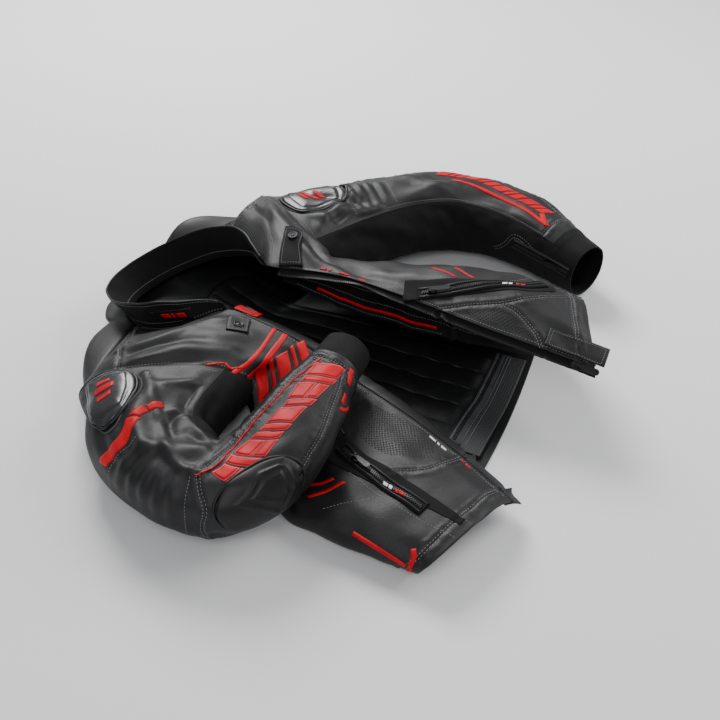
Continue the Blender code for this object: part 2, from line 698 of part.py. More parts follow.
def new_material(name, colour, roughness, metallic=0.0):
    material = bpy.data.materials.new(name)
    material.use_nodes = True
    shader = material.node_tree.nodes["Principled BSDF"]
    shader.inputs["Base Color"].default_value = (*colour, 1.0)
    shader.inputs["Roughness"].default_value = roughness
    shader.inputs["Metallic"].default_value = metallic
    return material


def main():
    for piece in list(bpy.data.objects):
        bpy.data.objects.remove(piece, do_unlink=True)
    leather = new_material("leather", (0.012, 0.012, 0.014), 0.45)
    stretch = new_material("stretch_cloth", (0.010, 0.010, 0.012), 0.8)
    shell = new_material("cup_rubber", (0.09, 0.09, 0.10), 0.6)
    lining = new_material("lining_cloth", (0.02, 0.02, 0.022), 0.9)
    red = new_material("red_trim", (0.55, 0.02, 0.02), 0.6)
    metal = new_material("dark_metal", (0.18, 0.18, 0.19), 0.35, 1.0)
    half = LEATHER / 2
    thin = SOFT_CLOTH / 2

    front_us, front_vs = steps(29), steps(12)
    back_us, back_vs = dense_ends(20), dense_ends(18)
    wall("back", BACK, back_us, back_vs, leather, -half, half, (0.0038, 0.0, 0.0038, 0.0038))
    wall("right_front", RIGHT_FRONT_SHEET, front_us, front_vs, leather, -half, half,
         (0.0006, 0.0, 0.0, 0.0034), opens=True)
    wall("left_front", LEFT_FRONT_SHEET, front_us, front_vs, leather, -half, half,
         (0.0006, 0.0, 0.0, 0.0010), opens=True)
    right_front = as_built(RIGHT_FRONT_SHEET, front_us, front_vs)
    left_front = as_built(LEFT_FRONT_SHEET, front_us, front_vs)
    wall("collar", COLLAR, steps(28), steps(2), stretch, -0.0013 - SOFT_CLOTH, -0.0013,
         (0.0, 0.0, 0.0016, 0.0))

    built_sleeves = {}
    cup_places = {"right": (0.11, 128 / 360), "left": (0.105, 97 / 360)}
    sleeves = [
        ("right", RIGHT_SLEEVE_SHEET, RIGHT_PLEATS, 0.0034),
        ("left", LEFT_SLEEVE_SHEET, LEFT_PLEATS, 0.0018),
    ]
    for side, sheet, pleats, armpit_gap in sleeves:
        us = steps(18, 0.0, CUFF_START)
        fine_us = with_more(us, pleats.u, pleats.to_u, 4 * pleats.count)
        leather_vs = steps(12, *SLEEVE_SEAMS)
        wall(f"{side}_sleeve", sheet, fine_us, leather_vs, leather, -half, half,
             (ARMHOLE_GAP, 0.0002, 0.0002, 0.0002))
        under_vs = steps(7, SLEEVE_SEAMS[1] - 1, SLEEVE_SEAMS[0])
        wall(f"{side}_under_sleeve", sheet, us, under_vs, stretch, -thin, thin,
             (armpit_gap, 0.0002, 0.0002, 0.0002))
        wall(f"{side}_cuff", sheet, steps(3, CUFF_START, 1.0), steps(20)[:-1], stretch, -thin, thin,
             (0.0002, 0.0, 0.0, 0.0), wraps=True)
        built_sleeves[side] = as_built(sheet, fine_us, leather_vs)
        pad(f"{side}_shoulder_cup", built_sleeves[side], cup_places[side], (0.050, 0.033), shell,
            half + 0.0011, 0.002, 0.0055)
    pad("right_elbow_cup", built_sleeves["right"], (0.540, 0.435), (0.056, 0.032), shell,
        half + 0.0014, 0.002, 0.004, count=10, ridges=4)

    wall("right_flap", RIGHT_FLAP, steps(20), steps(3), leather, -half - 0.0039, -half - 0.0023)
    wall("right_zip_tape", RIGHT_TAPE, steps(20), steps(2), stretch, -half - 0.0019, -half - 0.0007)
    wall("left_zip_tape", LEFT_TAPE, steps(20), steps(2), stretch, -half - 0.0019, -half - 0.0007)
    wall("left_facing", FACING, steps(20), steps(5), leather, -LINING / 2, LINING / 2)
    facing = as_built(FACING, steps(20), steps(5))
    below = -LINING / 2 - 0.0004
    ribbon("facing_piping", facing, (0.150, 0.74), (0.578, 0.78), 0.004, red, below - 0.002, below, 10)
    wall("back_lining", BACK, back_us[5:-1], back_vs[3:-3], lining, -half - 0.0021 - LINING, -half - 0.0021)
    back = as_built(BACK, back_us, back_vs)
    inside = -half - 0.0025 - LINING
    ribbon("waist_zip", back, (0.912, 0.46), (0.912, 0.90), 0.022, stretch, inside - 0.0012, inside, 14)

    on_cloth = half + 0.0011
    ribbon("right_pocket_welt", right_front, (0.735, 0.370), (0.925, 0.412), 0.020, leather,
           on_cloth, on_cloth + 0.001, 12)
    ribbon("left_pocket_welt", left_front, (0.670, 0.060), (0.930, 0.455), 0.020, leather,
           on_cloth, on_cloth + 0.001, 14)
    ribbon("left_cuff_welt", LEFT_SLEEVE_SHEET, (0.72, 0.034), (0.985, 0.034), 0.016, stretch,
           thin + 0.0006, thin + 0.0016, 10)
    ribbon("collar_tab", left_front, (0.345, 0.03), (0.325, 0.66), 0.030, leather,
           on_cloth, on_cloth + 0.0024, 14)
    pad("collar_tab_snap", left_front, (0.333, 0.475), (0.0075, 0.0075), metal,
        on_cloth + 0.0029, 0.001, 0.0015, count=4)
    ribbon("snap_patch", right_front, (0.325, 0.10), (0.352, 0.36), 0.030, leather,
           on_cloth, on_cloth + 0.0014, 6)
    pad("right_snap", right_front, (0.339, 0.237), (0.0075, 0.0075), metal,
        on_cloth + 0.0019, 0.001, 0.0015, count=4)
    ribbon("flap_tab", RIGHT_FLAP, (-0.030, 0.52), (-0.036, 1.15), 0.036, red,
           -half - 0.0017, -half - 0.0005, 6)
    ribbon("hem_tab", left_front, (0.925, 0.072), (1.022, 0.072), 0.026, leather,
           on_cloth, on_cloth + 0.002, 8)

    welt = on_cloth + 0.0013
    sliders = [
        ("left_pocket", left_front, (0.700, 0.105), (0.640, 0.015), welt, 1.0),
        ("right_pocket", right_front, (0.775, 0.379), (0.700, 0.363), welt, 1.0),
        ("left_cuff", LEFT_SLEEVE_SHEET, (0.875, 0.034), (0.80, 0.034), thin + 0.0020, 0.9),
        ("main_zip", LEFT_TAPE, (0.955, 0.725), (0.90, 0.725), -half - 0.0001, 1.2),
    ]
    for name, sheet, start, towards, lift, scale in sliders:
        slider_with_pull(name, Spot(sheet, start, towards, lift, scale), metal)

    corners = [vertex.co for piece in bpy.data.objects for vertex in piece.data.vertices]
    middle_x = (min(spot.x for spot in corners) + max(spot.x for spot in corners)) / 2
    middle_y = (min(spot.y for spot in corners) + max(spot.y for spot in corners)) / 2
    print("origin of the layout is moved by", middle_x, middle_y)
    for piece in bpy.data.objects:
        for vertex in piece.data.vertices:
            vertex.co.x -= middle_x
            vertex.co.y -= middle_y


if __name__ == "__main__":
    main()
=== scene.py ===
"""A leather motorcycle jacket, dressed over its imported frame.

Every sewn piece is drawn again from the tables that shape its solid, on a dense grid, with the
soft creases, seams, stitches, trims and finishes that the solids leave out.
Metres, +Z up. +X runs from the neck to the hem, +Y towards the wearer's left sleeve.
"""

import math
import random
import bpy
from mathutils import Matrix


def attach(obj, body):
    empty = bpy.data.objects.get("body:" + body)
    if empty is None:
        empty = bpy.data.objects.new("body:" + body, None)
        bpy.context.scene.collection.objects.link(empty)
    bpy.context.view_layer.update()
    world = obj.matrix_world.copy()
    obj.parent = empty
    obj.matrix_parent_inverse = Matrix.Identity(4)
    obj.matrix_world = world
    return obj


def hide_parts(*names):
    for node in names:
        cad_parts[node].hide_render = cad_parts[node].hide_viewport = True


bl_info = {
    "name": "Leather Motorcycle Jacket",
    "version": (1, 0, 0),
    "blender": (4, 5, 0),
    "location": "3D Viewport > Sidebar > Jacket",
    "description": "Dresses the jacket's frame with leather, cloth, zips, stitches and a stage",
    "category": "Object",
}

from collections import namedtuple
from functools import cache

import bpy
import numpy as np
from mathutils import Vector

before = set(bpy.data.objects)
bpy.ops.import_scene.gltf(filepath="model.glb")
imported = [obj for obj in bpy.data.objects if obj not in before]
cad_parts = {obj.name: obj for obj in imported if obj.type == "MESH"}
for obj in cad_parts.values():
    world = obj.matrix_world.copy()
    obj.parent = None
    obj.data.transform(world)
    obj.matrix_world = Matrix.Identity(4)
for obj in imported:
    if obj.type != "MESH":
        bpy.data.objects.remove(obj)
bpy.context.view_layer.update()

# Sizes shared with the solids
LEATHER = 0.0026
SOFT_CLOTH = 0.0022
LINING = 0.0014
ON_FLOOR = LEATHER / 2
HALF = LEATHER / 2
THIN = SOFT_CLOTH / 2
# Lifts of trims and linings, outwards from the middle of the leather: one, or low and high
ON_CLOTH = HALF + 0.0011
QUILT_LIFTS = (-HALF - 0.0021 - LINING, -HALF - 0.0021)
INSIDE_QUILT = -HALF - 0.0025 - LINING
FLAP_LIFTS = (-HALF - 0.0039, -HALF - 0.0023)
TAPE_LIFTS = (-HALF - 0.0019, -HALF - 0.0007)
COLLAR_LIFTS = (-0.0013 - SOFT_CLOTH, -0.0013)
# The rim of a print goes this far into what it lies on, and its mesh has this pitch
PRINT_TUCK = 0.0004
PRINT_PITCH = 0.0035
COLLAR_HEIGHT = 0.050
COLLAR_END_HEIGHT = 0.012
COLLAR_FLARE = 0.18
COLLAR_TAPER = 0.16
CUFF_START = 0.905
FLAP_WIDTH = 0.026
FACING_DROP = 0.068
FACING_START = 0.30
FLAP_START = 0.335
ZIP_START = 0.31
SLEEVE_SEAMS = (48 / 360, 285 / 360)
# The tables are drawn in the jacket's own layout, and the frame stands here from it
SHIFT = np.array([0.028453365, -0.069540069, 0.0])

# The neck seam is a rising oval. Its angle is 0 at the nape, negative on the right.
NECK_CENTRE = (-0.255, 0.033)
NECK_BACK = 0.102
NECK_FRONT_RIGHT = 0.098
NECK_FRONT_LEFT = 0.122
NECK_HALF_WIDTH = 0.085
NECK_NAPE_Z = 0.024
NECK_FRONT_RIGHT_Z = 0.095
NECK_FRONT_LEFT_Z = 0.132
NECK_SHOULDER_ANGLE = 62
NECK_END_RIGHT = -151
NECK_END_LEFT = 158
NECK_AXIS = (-0.60, 0.0, 0.80)

# The rings of each sleeve: x, y, z, heading in degrees, half width, half height, boxiness
RIGHT_RINGS = [
    (-0.177, -0.158, 0.051, -60, 0.114, 0.049, 2.3),
    (-0.162, -0.205, 0.052, -66, 0.087, 0.050, 2.3),
    (-0.138, -0.246, 0.052, -52, 0.074, 0.050, 2.4),
    (-0.090, -0.275, 0.053, -18, 0.064, 0.050, 2.4),
    (-0.030, -0.284, 0.058, 17, 0.061, 0.048, 2.4),
    (0.008, -0.248, 0.069, 58, 0.058, 0.044, 2.4),
    (0.024, -0.196, 0.082, 80, 0.054, 0.040, 2.4),
    (0.025, -0.134, 0.093, 87, 0.047, 0.035, 2.3),
    (0.025, -0.074, 0.096, 88, 0.036, 0.030, 2.2),
    (0.026, -0.025, 0.098, 87, 0.032, 0.027, 2.2),
]
LEFT_RINGS = [
    (-0.186, 0.204, 0.066, 58, 0.104, 0.064, 2.5),
    (-0.153, 0.246, 0.064, 54, 0.086, 0.062, 2.4),
    (-0.113, 0.304, 0.063, 50, 0.073, 0.060, 2.2),
    (-0.064, 0.366, 0.063, 42, 0.068, 0.058, 2.2),
    (-0.004, 0.411, 0.062, 28, 0.066, 0.057, 2.2),
    (0.060, 0.424, 0.060, 6, 0.063, 0.055, 2.2),
    (0.124, 0.416, 0.058, -16, 0.058, 0.052, 2.2),
    (0.177, 0.394, 0.056, -24, 0.050, 0.048, 2.1),
    (0.215, 0.376, 0.052, -25, 0.042, 0.044, 2.1),
    (0.252, 0.358, 0.050, -25, 0.037, 0.040, 2.1),
]
ARMPIT_RIB = 6
COLLAR_END_RIB = 3
LAST_RIB = 11
BACK_ARMHOLE_SHARE = 0.36
BACK_SHOULDER_SHARE = 0.34
HEM_BOW = 0.016
TOP_RISE_POWER = 6
SIDE_RISE_POWER = 10
SHOULDER_FOLD = 0.135
NAPE_FOLD = 0.078
YOKE_PUFF = 0.030
FLATTENED = 0.0008


def along(rows, share):
    """A smooth curve through rows of numbers, read at any array of shares from 0 to 1."""
    rows = np.asarray(rows, float)
    place = np.clip(share, 0.0, 1.0) * (len(rows) - 1)
    first = np.minimum(place.astype(int), len(rows) - 2)
    step = (place - first).reshape(np.shape(place) + (1,) * (rows.ndim - 1))
    lead, tail = 2 * rows[:1] - rows[1:2], 2 * rows[-1:] - rows[-2:-1]
    full = np.concatenate([lead, rows, tail])
    before, start, end, after = (full[first + offset] for offset in range(4))
    return 0.5 * (
        2 * start
        + (end - before) * step
        + (2 * before - 5 * start + 4 * end - after) * step**2
        + (3 * start - 3 * end + after - before) * step**3
    )


def neck_point(angle):
    """The neck seam's ideal line at these angles in degrees from the nape."""
    turn = np.radians(angle)
    front = np.where(np.asarray(angle) > 0, NECK_FRONT_LEFT, NECK_FRONT_RIGHT)
    reach = np.where(np.abs(angle) < 90, NECK_BACK, front)
    front_z = np.where(np.asarray(angle) > 0, NECK_FRONT_LEFT_Z, NECK_FRONT_RIGHT_Z)
    x = NECK_CENTRE[0] - reach * np.cos(turn)
    y = NECK_CENTRE[1] + NECK_HALF_WIDTH * np.sin(turn)
    z = NECK_NAPE_Z + (front_z - NECK_NAPE_Z) * (1 - np.cos(turn)) / 2
    return np.stack([x, y, z], -1)


def rounded(value, boxy):
    """The sine or cosine of rings that are boxier than ellipses."""
    return np.copysign(np.abs(value) ** (2 / boxy), value)


def ring_point(ring, angle, inner_side):
    """Points of sleeve rings. The angle is 0 on the armpit's side and 90 on top."""
    ring = np.asarray(ring, float)
    turn, heading = np.radians(angle), np.radians(ring[..., 3])
    side = inner_side * ring[..., 4] * rounded(np.cos(turn), ring[..., 6])
    up = ring[..., 5] * rounded(np.sin(turn), ring[..., 6])
    x = ring[..., 0] - np.sin(heading) * side
    y = ring[..., 1] + np.cos(heading) * side
    return np.stack([x, y, ring[..., 2] + up], -1)


def right_armhole(angle):
    return ring_point(RIGHT_RINGS[0], angle, 1)


def left_armhole(angle):
    return ring_point(LEFT_RINGS[0], angle, -1)


# The ribs of each front: edge point, side point, edge rise, edge out, side rise, side out
RIGHT_RIBS = [
    (neck_point(-62), right_armhole(180), 0.010, 0.0, 0.012, 0.0),
    (neck_point(-88), right_armhole(150), 0.022, 0.0, 0.020, 0.0),
    (neck_point(-118), right_armhole(120), 0.020, 0.0, 0.016, 0.0),
    (neck_point(-151), right_armhole(90), 0.008, 0.0, 0.010, 0.0),
    ((-0.120, -0.010, 0.088), right_armhole(60), 0.002, 0.0, 0.006, 0.0),
    ((-0.075, -0.013, 0.082), right_armhole(30), 0.002, 0.0, 0.004, 0.0),
    ((-0.030, -0.017, 0.070), right_armhole(0), 0.004, 0.0, 0.006, 0.0),
    ((0.030, -0.030, 0.055), (-0.035, -0.165, 0.012), 0.008, 0.0, 0.010, -0.012),
    ((0.095, -0.050, 0.052), (0.030, -0.235, ON_FLOOR), 0.016, -0.004, 0.022, -0.090),
    ((0.160, -0.074, 0.050), (0.095, -0.250, ON_FLOOR), 0.028, -0.008, 0.036, -0.115),
    ((0.228, -0.104, 0.047), (0.160, -0.252, ON_FLOOR), 0.034, -0.010, 0.042, -0.112),
    ((0.297, -0.138, 0.042), (0.222, -0.252, ON_FLOOR), 0.036, -0.012, 0.044, -0.104),
]
LEFT_RIBS = [
    (neck_point(62), left_armhole(180), 0.024, 0.0, 0.028, 0.0),
    (neck_point(90), left_armhole(150), 0.026, 0.0, 0.026, 0.0),
    (neck_point(124), left_armhole(120), 0.020, 0.0, 0.018, 0.0),
    (neck_point(158), left_armhole(90), 0.014, 0.0, 0.018, 0.0),
    ((-0.100, 0.074, 0.128), left_armhole(60), 0.014, 0.0, 0.016, 0.0),
    ((-0.055, 0.080, 0.131), left_armhole(30), 0.016, 0.0, 0.022, 0.0),
    ((-0.008, 0.081, 0.132), left_armhole(0), 0.020, 0.0, 0.036, 0.010),
    ((0.060, 0.077, 0.130), (-0.010, 0.185, 0.022), 0.054, 0.016, 0.062, 0.054),
    ((0.124, 0.071, 0.127), (0.050, 0.203, ON_FLOOR), 0.074, 0.020, 0.086, 0.088),
    ((0.188, 0.066, 0.123), (0.110, 0.207, ON_FLOOR), 0.080, 0.022, 0.098, 0.098),
    ((0.258, 0.066, 0.116), (0.168, 0.208, ON_FLOOR), 0.084, 0.022, 0.104, 0.098),
    ((0.334, 0.072, 0.102), (0.226, 0.207, ON_FLOOR), 0.084, 0.022, 0.110, 0.096),
]


def front_place(ribs):
    """A front's sheet. Each rib is a four-point curve from the edge to the side."""
    nets = []
    for edge, side, edge_rise, edge_out, side_rise, side_out in ribs:
        edge, side = np.array(edge, float), np.array(side, float)
        edge_pull = edge + (side - edge) / 3 + np.array([0, edge_out, edge_rise])
        side_pull = edge + (side - edge) * 2 / 3 + np.array([0, side_out, side_rise])
        nets.append([edge, edge_pull, side_pull, side])

    def place(u, v):
        net = along(nets, u)
        w = 1 - v
        shares = np.stack([w**3, 3 * w * w * v, 3 * w * v * v, v**3], -1)
        return (net * shares[..., None]).sum(-2)

    return place


def sleeve_place(rings, inner_side):
    """A sleeve's sheet. v runs once round, from the armpit's side over the top."""

    def place(u, v):
        return ring_point(along(rings, u), 360 * v, inner_side)

    return place


right_front_place = front_place(RIGHT_RIBS)
left_front_place = front_place(LEFT_RIBS)
right_sleeve_place = sleeve_place(RIGHT_RINGS, 1)
left_sleeve_place = sleeve_place(LEFT_RINGS, -1)


def side_of_back(front, armhole, u):
    """The back's side line: the under half of the armhole, then the front's side seam."""
    upper = armhole(180 + 180 * np.minimum(u / BACK_ARMHOLE_SHARE, 1.0))
    share = np.clip((u - BACK_ARMHOLE_SHARE) / (1 - BACK_ARMHOLE_SHARE), 0.0, 1.0)
    armpit = ARMPIT_RIB / LAST_RIB
    lower = front(armpit + (1 - armpit) * share, np.ones_like(share))
    return np.where((u < BACK_ARMHOLE_SHARE)[..., None], upper, lower)


def top_of_back(v):
    """The back's top line: right shoulder seam, nape, left shoulder seam."""
    first = np.zeros_like(v)
    right = right_front_place(first, np.clip(1 - v / BACK_SHOULDER_SHARE, 0, 1))
    left = left_front_place(first, np.clip(1 - (1 - v) / BACK_SHOULDER_SHARE, 0, 1))
    share = (v - BACK_SHOULDER_SHARE) / (1 - 2 * BACK_SHOULDER_SHARE)
    nape = neck_point(NECK_SHOULDER_ANGLE * (2 * np.clip(share, 0, 1) - 1))
    low = (v < BACK_SHOULDER_SHARE)[..., None]
    high = (v > 1 - BACK_SHOULDER_SHARE)[..., None]
    return np.where(low, right, np.where(high, left, nape))


def back_place(u, v):
    """The back fills its four border lines. Their height fades quickly towards the middle."""
    one = np.ones(1)
    corner_top_right, corner_top_left = top_of_back(0 * one)[0], top_of_back(one)[0]
    hem_right = right_front_place(one, one)[0]
    hem_left = left_front_place(one, one)[0]
    top = top_of_back(v)
    hem = hem_right + (hem_left - hem_right) * v[..., None]
    hem[..., 0] += HEM_BOW * np.sin(math.pi * v)
    right = side_of_back(right_front_place, right_armhole, u)
    left = side_of_back(left_front_place, left_armhole, u)

    def blend(up, across_right, across_left):
        up, across_right, across_left = up[..., None], across_right[..., None], across_left[..., None]
        down = 1 - up
        inner = up * (across_right * corner_top_right + across_left * corner_top_left)
        outer = down * (across_right * hem_right + across_left * hem_left)
        both = across_right * right + across_left * left
        return up * top + down * hem + both - inner - outer

    flat = blend(1 - u, 1 - v, v)
    spread = 4 * v * (1 - v)
    fold = spread * (SHOULDER_FOLD + (NAPE_FOLD - SHOULDER_FOLD) * spread**3)
    x = flat[..., 0] - fold * 5.06 * u**0.6 * (1 - u) ** 3
    rise = blend((1 - u) ** TOP_RISE_POWER, (1 - v) ** SIDE_RISE_POWER, v**SIDE_RISE_POWER)
    puff = YOKE_PUFF * np.exp(-(((v - 0.80) / 0.14) ** 2)) * (u / 0.05) * np.exp(1 - u / 0.05)
    height = np.maximum(0.0, rise[..., 2] - ON_FLOOR) + puff
    height = np.maximum(0.0, height - FLATTENED * np.exp(-height / FLATTENED))
    return np.stack([x - 0.5 * puff, flat[..., 1], ON_FLOOR + height], -1)


def neck_seam(angle):
    """The neck seam as the panels really run: the fronts' neck edges, then the nape."""
    shoulder, collar_end = NECK_SHOULDER_ANGLE, COLLAR_END_RIB / LAST_RIB
    zero = np.zeros_like(angle)
    left_share = (angle - shoulder) / (NECK_END_LEFT - shoulder) * collar_end
    right_share = (angle + shoulder) / (NECK_END_RIGHT + shoulder) * collar_end
    left = left_front_place(np.clip(left_share, 0, 1), zero)
    right = right_front_place(np.clip(right_share, 0, 1), zero)
    on_left, on_right = (angle > shoulder)[..., None], (angle < -shoulder)[..., None]
    return np.where(on_left, left, np.where(on_right, right, neck_point(angle)))


def collar_place(u, v):
    """The collar stands on the neck seam. u runs from its right end to its left, v upwards."""
    angle = NECK_END_RIGHT + (NECK_END_LEFT - NECK_END_RIGHT) * u
    turn = np.radians(angle)
    out = np.stack([-np.cos(turn), np.sin(turn), 0 * turn], -1)
    lean = np.array(NECK_AXIS) + COLLAR_FLARE * out
    lean /= np.linalg.norm(lean, axis=-1, keepdims=True)
    end = np.minimum(1.0, np.minimum(u, 1 - u) / COLLAR_TAPER)
    height = COLLAR_END_HEIGHT + (COLLAR_HEIGHT - COLLAR_END_HEIGHT) * np.sin(end * math.pi / 2)
    return neck_seam(angle) + lean * (height * v)[..., None]


class Panel:
    """A sewn piece as it lies: a dense grid of points, read at any u and v.

    u runs towards the hem or the cuff, v across, and lift is outwards.
    """

    def __init__(self, place, outward, us, vs, shape=None, shifted=True):
        self.us = np.asarray(us, float)
        self.vs = np.asarray(vs, float)
        self.outward = outward
        self.u, self.v = np.meshgrid(self.us, self.vs, indexing="ij")
        self.points = place(self.u, self.v) + (SHIFT if shifted else 0.0)
        self.rest_on_floor()
        self.measure()
        if shape:
            self.points = self.points + self.normals * shape(self)[..., None]
            self.rest_on_floor()
            self.measure()

    def rest_on_floor(self):
        self.points[..., 2] = np.maximum(self.points[..., 2], ON_FLOOR)

    def measure(self):
        """The slopes, normals and lengths of the cloth at every grid point."""
        self.down = np.gradient(self.points, self.us, axis=0)
        self.across = np.gradient(self.points, self.vs, axis=1)
        normals = self.outward * np.cross(self.down, self.across)
        lengths = np.linalg.norm(normals, axis=-1, keepdims=True)
        self.normals = normals / np.maximum(lengths, 1e-12)
        self.area = lengths.mean() * (self.us[-1] - self.us[0]) * (self.vs[-1] - self.vs[0])
        steps_u = np.linalg.norm(np.diff(self.points, axis=0), axis=-1).mean(1)
        steps_v = np.linalg.norm(np.diff(self.points, axis=1), axis=-1)
        run_u = np.concatenate([[0.0], np.cumsum(steps_u)])
        run_v = np.concatenate([np.zeros((len(self.us), 1)), np.cumsum(steps_v, axis=1)], axis=1)
        run_v -= run_v[:, run_v.shape[1] // 2, None]
        self.metres = np.stack([np.broadcast_to(run_u[:, None], run_v.shape), run_v], -1)

    def read(self, grid, u, v):
        """A value of the grid between its points, going straight on beyond its edges."""
        u, v = np.asarray(u, float), np.asarray(v, float)
        row = np.clip(np.searchsorted(self.us, u) - 1, 0, len(self.us) - 2)
        column = np.clip(np.searchsorted(self.vs, v) - 1, 0, len(self.vs) - 2)
        a = ((u - self.us[row]) / (self.us[row + 1] - self.us[row]))[..., None]
        b = ((v - self.vs[column]) / (self.vs[column + 1] - self.vs[column]))[..., None]
        near = grid[row, column] * (1 - b) + grid[row, column + 1] * b
        far = grid[row + 1, column] * (1 - b) + grid[row + 1, column + 1] * b
        return near * (1 - a) + far * a

    def normal(self, u, v):
        normal = self.read(self.normals, np.clip(u, self.us[0], self.us[-1]), v)
        return normal / np.linalg.norm(normal, axis=-1, keepdims=True)

    def at(self, u, v, lift=0.0):
        """Points of the cloth, moved out by this lift."""
        return self.read(self.points, u, v) + self.normal(u, v) * np.asarray(lift)[..., None]

    def scale(self, u, v):
        """Metres of cloth for a step of one in u and in v."""
        down, across = self.read(self.down, u, v), self.read(self.across, u, v)
        return np.array([np.linalg.norm(down), np.linalg.norm(across)])

    def slopes(self, u, v):
        """How the cloth runs along u and along v. Past an edge it runs as at the edge."""
        near_u, near_v = np.clip(u, self.us[0], self.us[-1]), np.clip(v, self.vs[0], self.vs[-1])
        return self.read(self.down, near_u, near_v), self.read(self.across, near_u, near_v)

    def moved(self, u, v, direction):
        """The u and v reached by going this way from points of the cloth, in metres."""
        down, across = self.slopes(u, v)
        aa, bb, ab = (down**2).sum(-1), (across**2).sum(-1), (down * across).sum(-1)
        da, db = (down * direction).sum(-1), (across * direction).sum(-1)
        solid = aa * bb - ab * ab
        return u + (da * bb - db * ab) / solid, v + (db * aa - da * ab) / solid

    def line(self, spots, count=60):
        """A smooth line through u, v spots, as arrays of u and v evenly spaced along it."""
        fine = along(spots, np.linspace(0, 1, 12 * count))
        points = self.read(self.points, fine[:, 0], fine[:, 1])
        run = np.concatenate([[0], np.cumsum(np.linalg.norm(np.diff(points, axis=0), axis=1))])
        even = np.linspace(0, run[-1], count)
        return np.interp(even, run, fine[:, 0]), np.interp(even, run, fine[:, 1])

    def length(self, spots):
        u, v = self.line(spots)
        points = self.read(self.points, u, v)
        return float(np.linalg.norm(np.diff(points, axis=0), axis=1).sum())

    def distance(self, spots):
        """How far every grid point is from a line through these spots, in metres."""
        u, v = self.line(spots, 90)
        line = self.read(self.points, u, v)
        points = self.points.reshape(-1, 3)
        square = (points**2).sum(1)[:, None] + (line**2).sum(1) - 2 * points @ line.T
        return np.sqrt(np.maximum(square.min(1), 0)).reshape(self.u.shape)


# A soft crease from one u, v to another. Width, height and bow sideways are in metres.
Crease = namedtuple("Crease", "u v to_u to_v width height bow", defaults=[0.0])
# Accordion pleats between two u and around the middle v
Pleats = namedtuple("Pleats", "u to_u count v half_width height")
# A line of sewing through u, v spots, with one or two rows of stitches
Seam = namedtuple("Seam", "spots rows", defaults=[2])

# The first creases of each table are those of the solids
RIGHT_FRONT_CREASES = [
    Crease(0.22, 0.90, 0.37, 0.72, 0.018, 0.009),
    Crease(0.30, 0.55, 0.38, 0.30, 0.016, 0.004),
    Crease(0.72, 0.45, 0.93, 0.60, 0.016, 0.005),
    Crease(0.60, 0.25, 0.74, 0.30, 0.016, 0.004),
    Crease(0.10, 0.60, 0.24, 0.40, 0.012, 0.0050, 0.010),
    Crease(0.16, 0.75, 0.30, 0.62, 0.010, -0.0040, -0.008),
    Crease(0.24, 0.30, 0.33, 0.12, 0.012, 0.0030, 0.006),
    Crease(0.44, 0.75, 0.52, 0.50, 0.010, 0.0040),
    Crease(0.50, 0.85, 0.60, 0.62, 0.012, -0.0050, 0.008),
    Crease(0.66, 0.62, 0.80, 0.80, 0.014, 0.0050, 0.010),
    Crease(0.80, 0.52, 0.98, 0.72, 0.016, -0.0045, -0.012),
    Crease(0.88, 0.18, 0.99, 0.10, 0.014, 0.0030),
    Crease(0.92, 0.30, 1.00, 0.25, 0.012, -0.0025),
    Crease(0.47, 0.30, 0.56, 0.10, 0.012, 0.0030, -0.006),
    Crease(0.05, 0.30, 0.13, 0.55, 0.010, -0.0030, 0.006),
]
LEFT_FRONT_CREASES = [
    Crease(0.62, 0.20, 0.92, 0.30, 0.018, 0.005),
    Crease(0.44, 0.42, 0.58, 0.60, 0.018, 0.006),
    Crease(0.84, 0.62, 0.97, 0.40, 0.020, 0.006),
    Crease(0.44, 0.75, 0.58, 0.54, 0.016, 0.0070, 0.010),
    Crease(0.40, 0.60, 0.52, 0.35, 0.012, -0.0055, -0.008),
    Crease(0.34, 0.84, 0.50, 0.72, 0.012, 0.0050),
    Crease(0.30, 0.45, 0.42, 0.22, 0.012, 0.0040, 0.010),
    Crease(0.22, 0.72, 0.34, 0.52, 0.014, 0.0050, 0.010),
    Crease(0.12, 0.64, 0.22, 0.52, 0.012, -0.0030),
    Crease(0.90, 0.22, 1.00, 0.14, 0.012, 0.0030),
    Crease(0.86, 0.42, 1.00, 0.55, 0.014, -0.0040, 0.010),
    Crease(0.66, 0.32, 0.80, 0.52, 0.016, 0.0040, -0.012),
    Crease(0.54, 0.20, 0.64, 0.12, 0.011, -0.0030),
    Crease(0.50, 0.86, 0.66, 0.74, 0.018, 0.0060, 0.012),
]
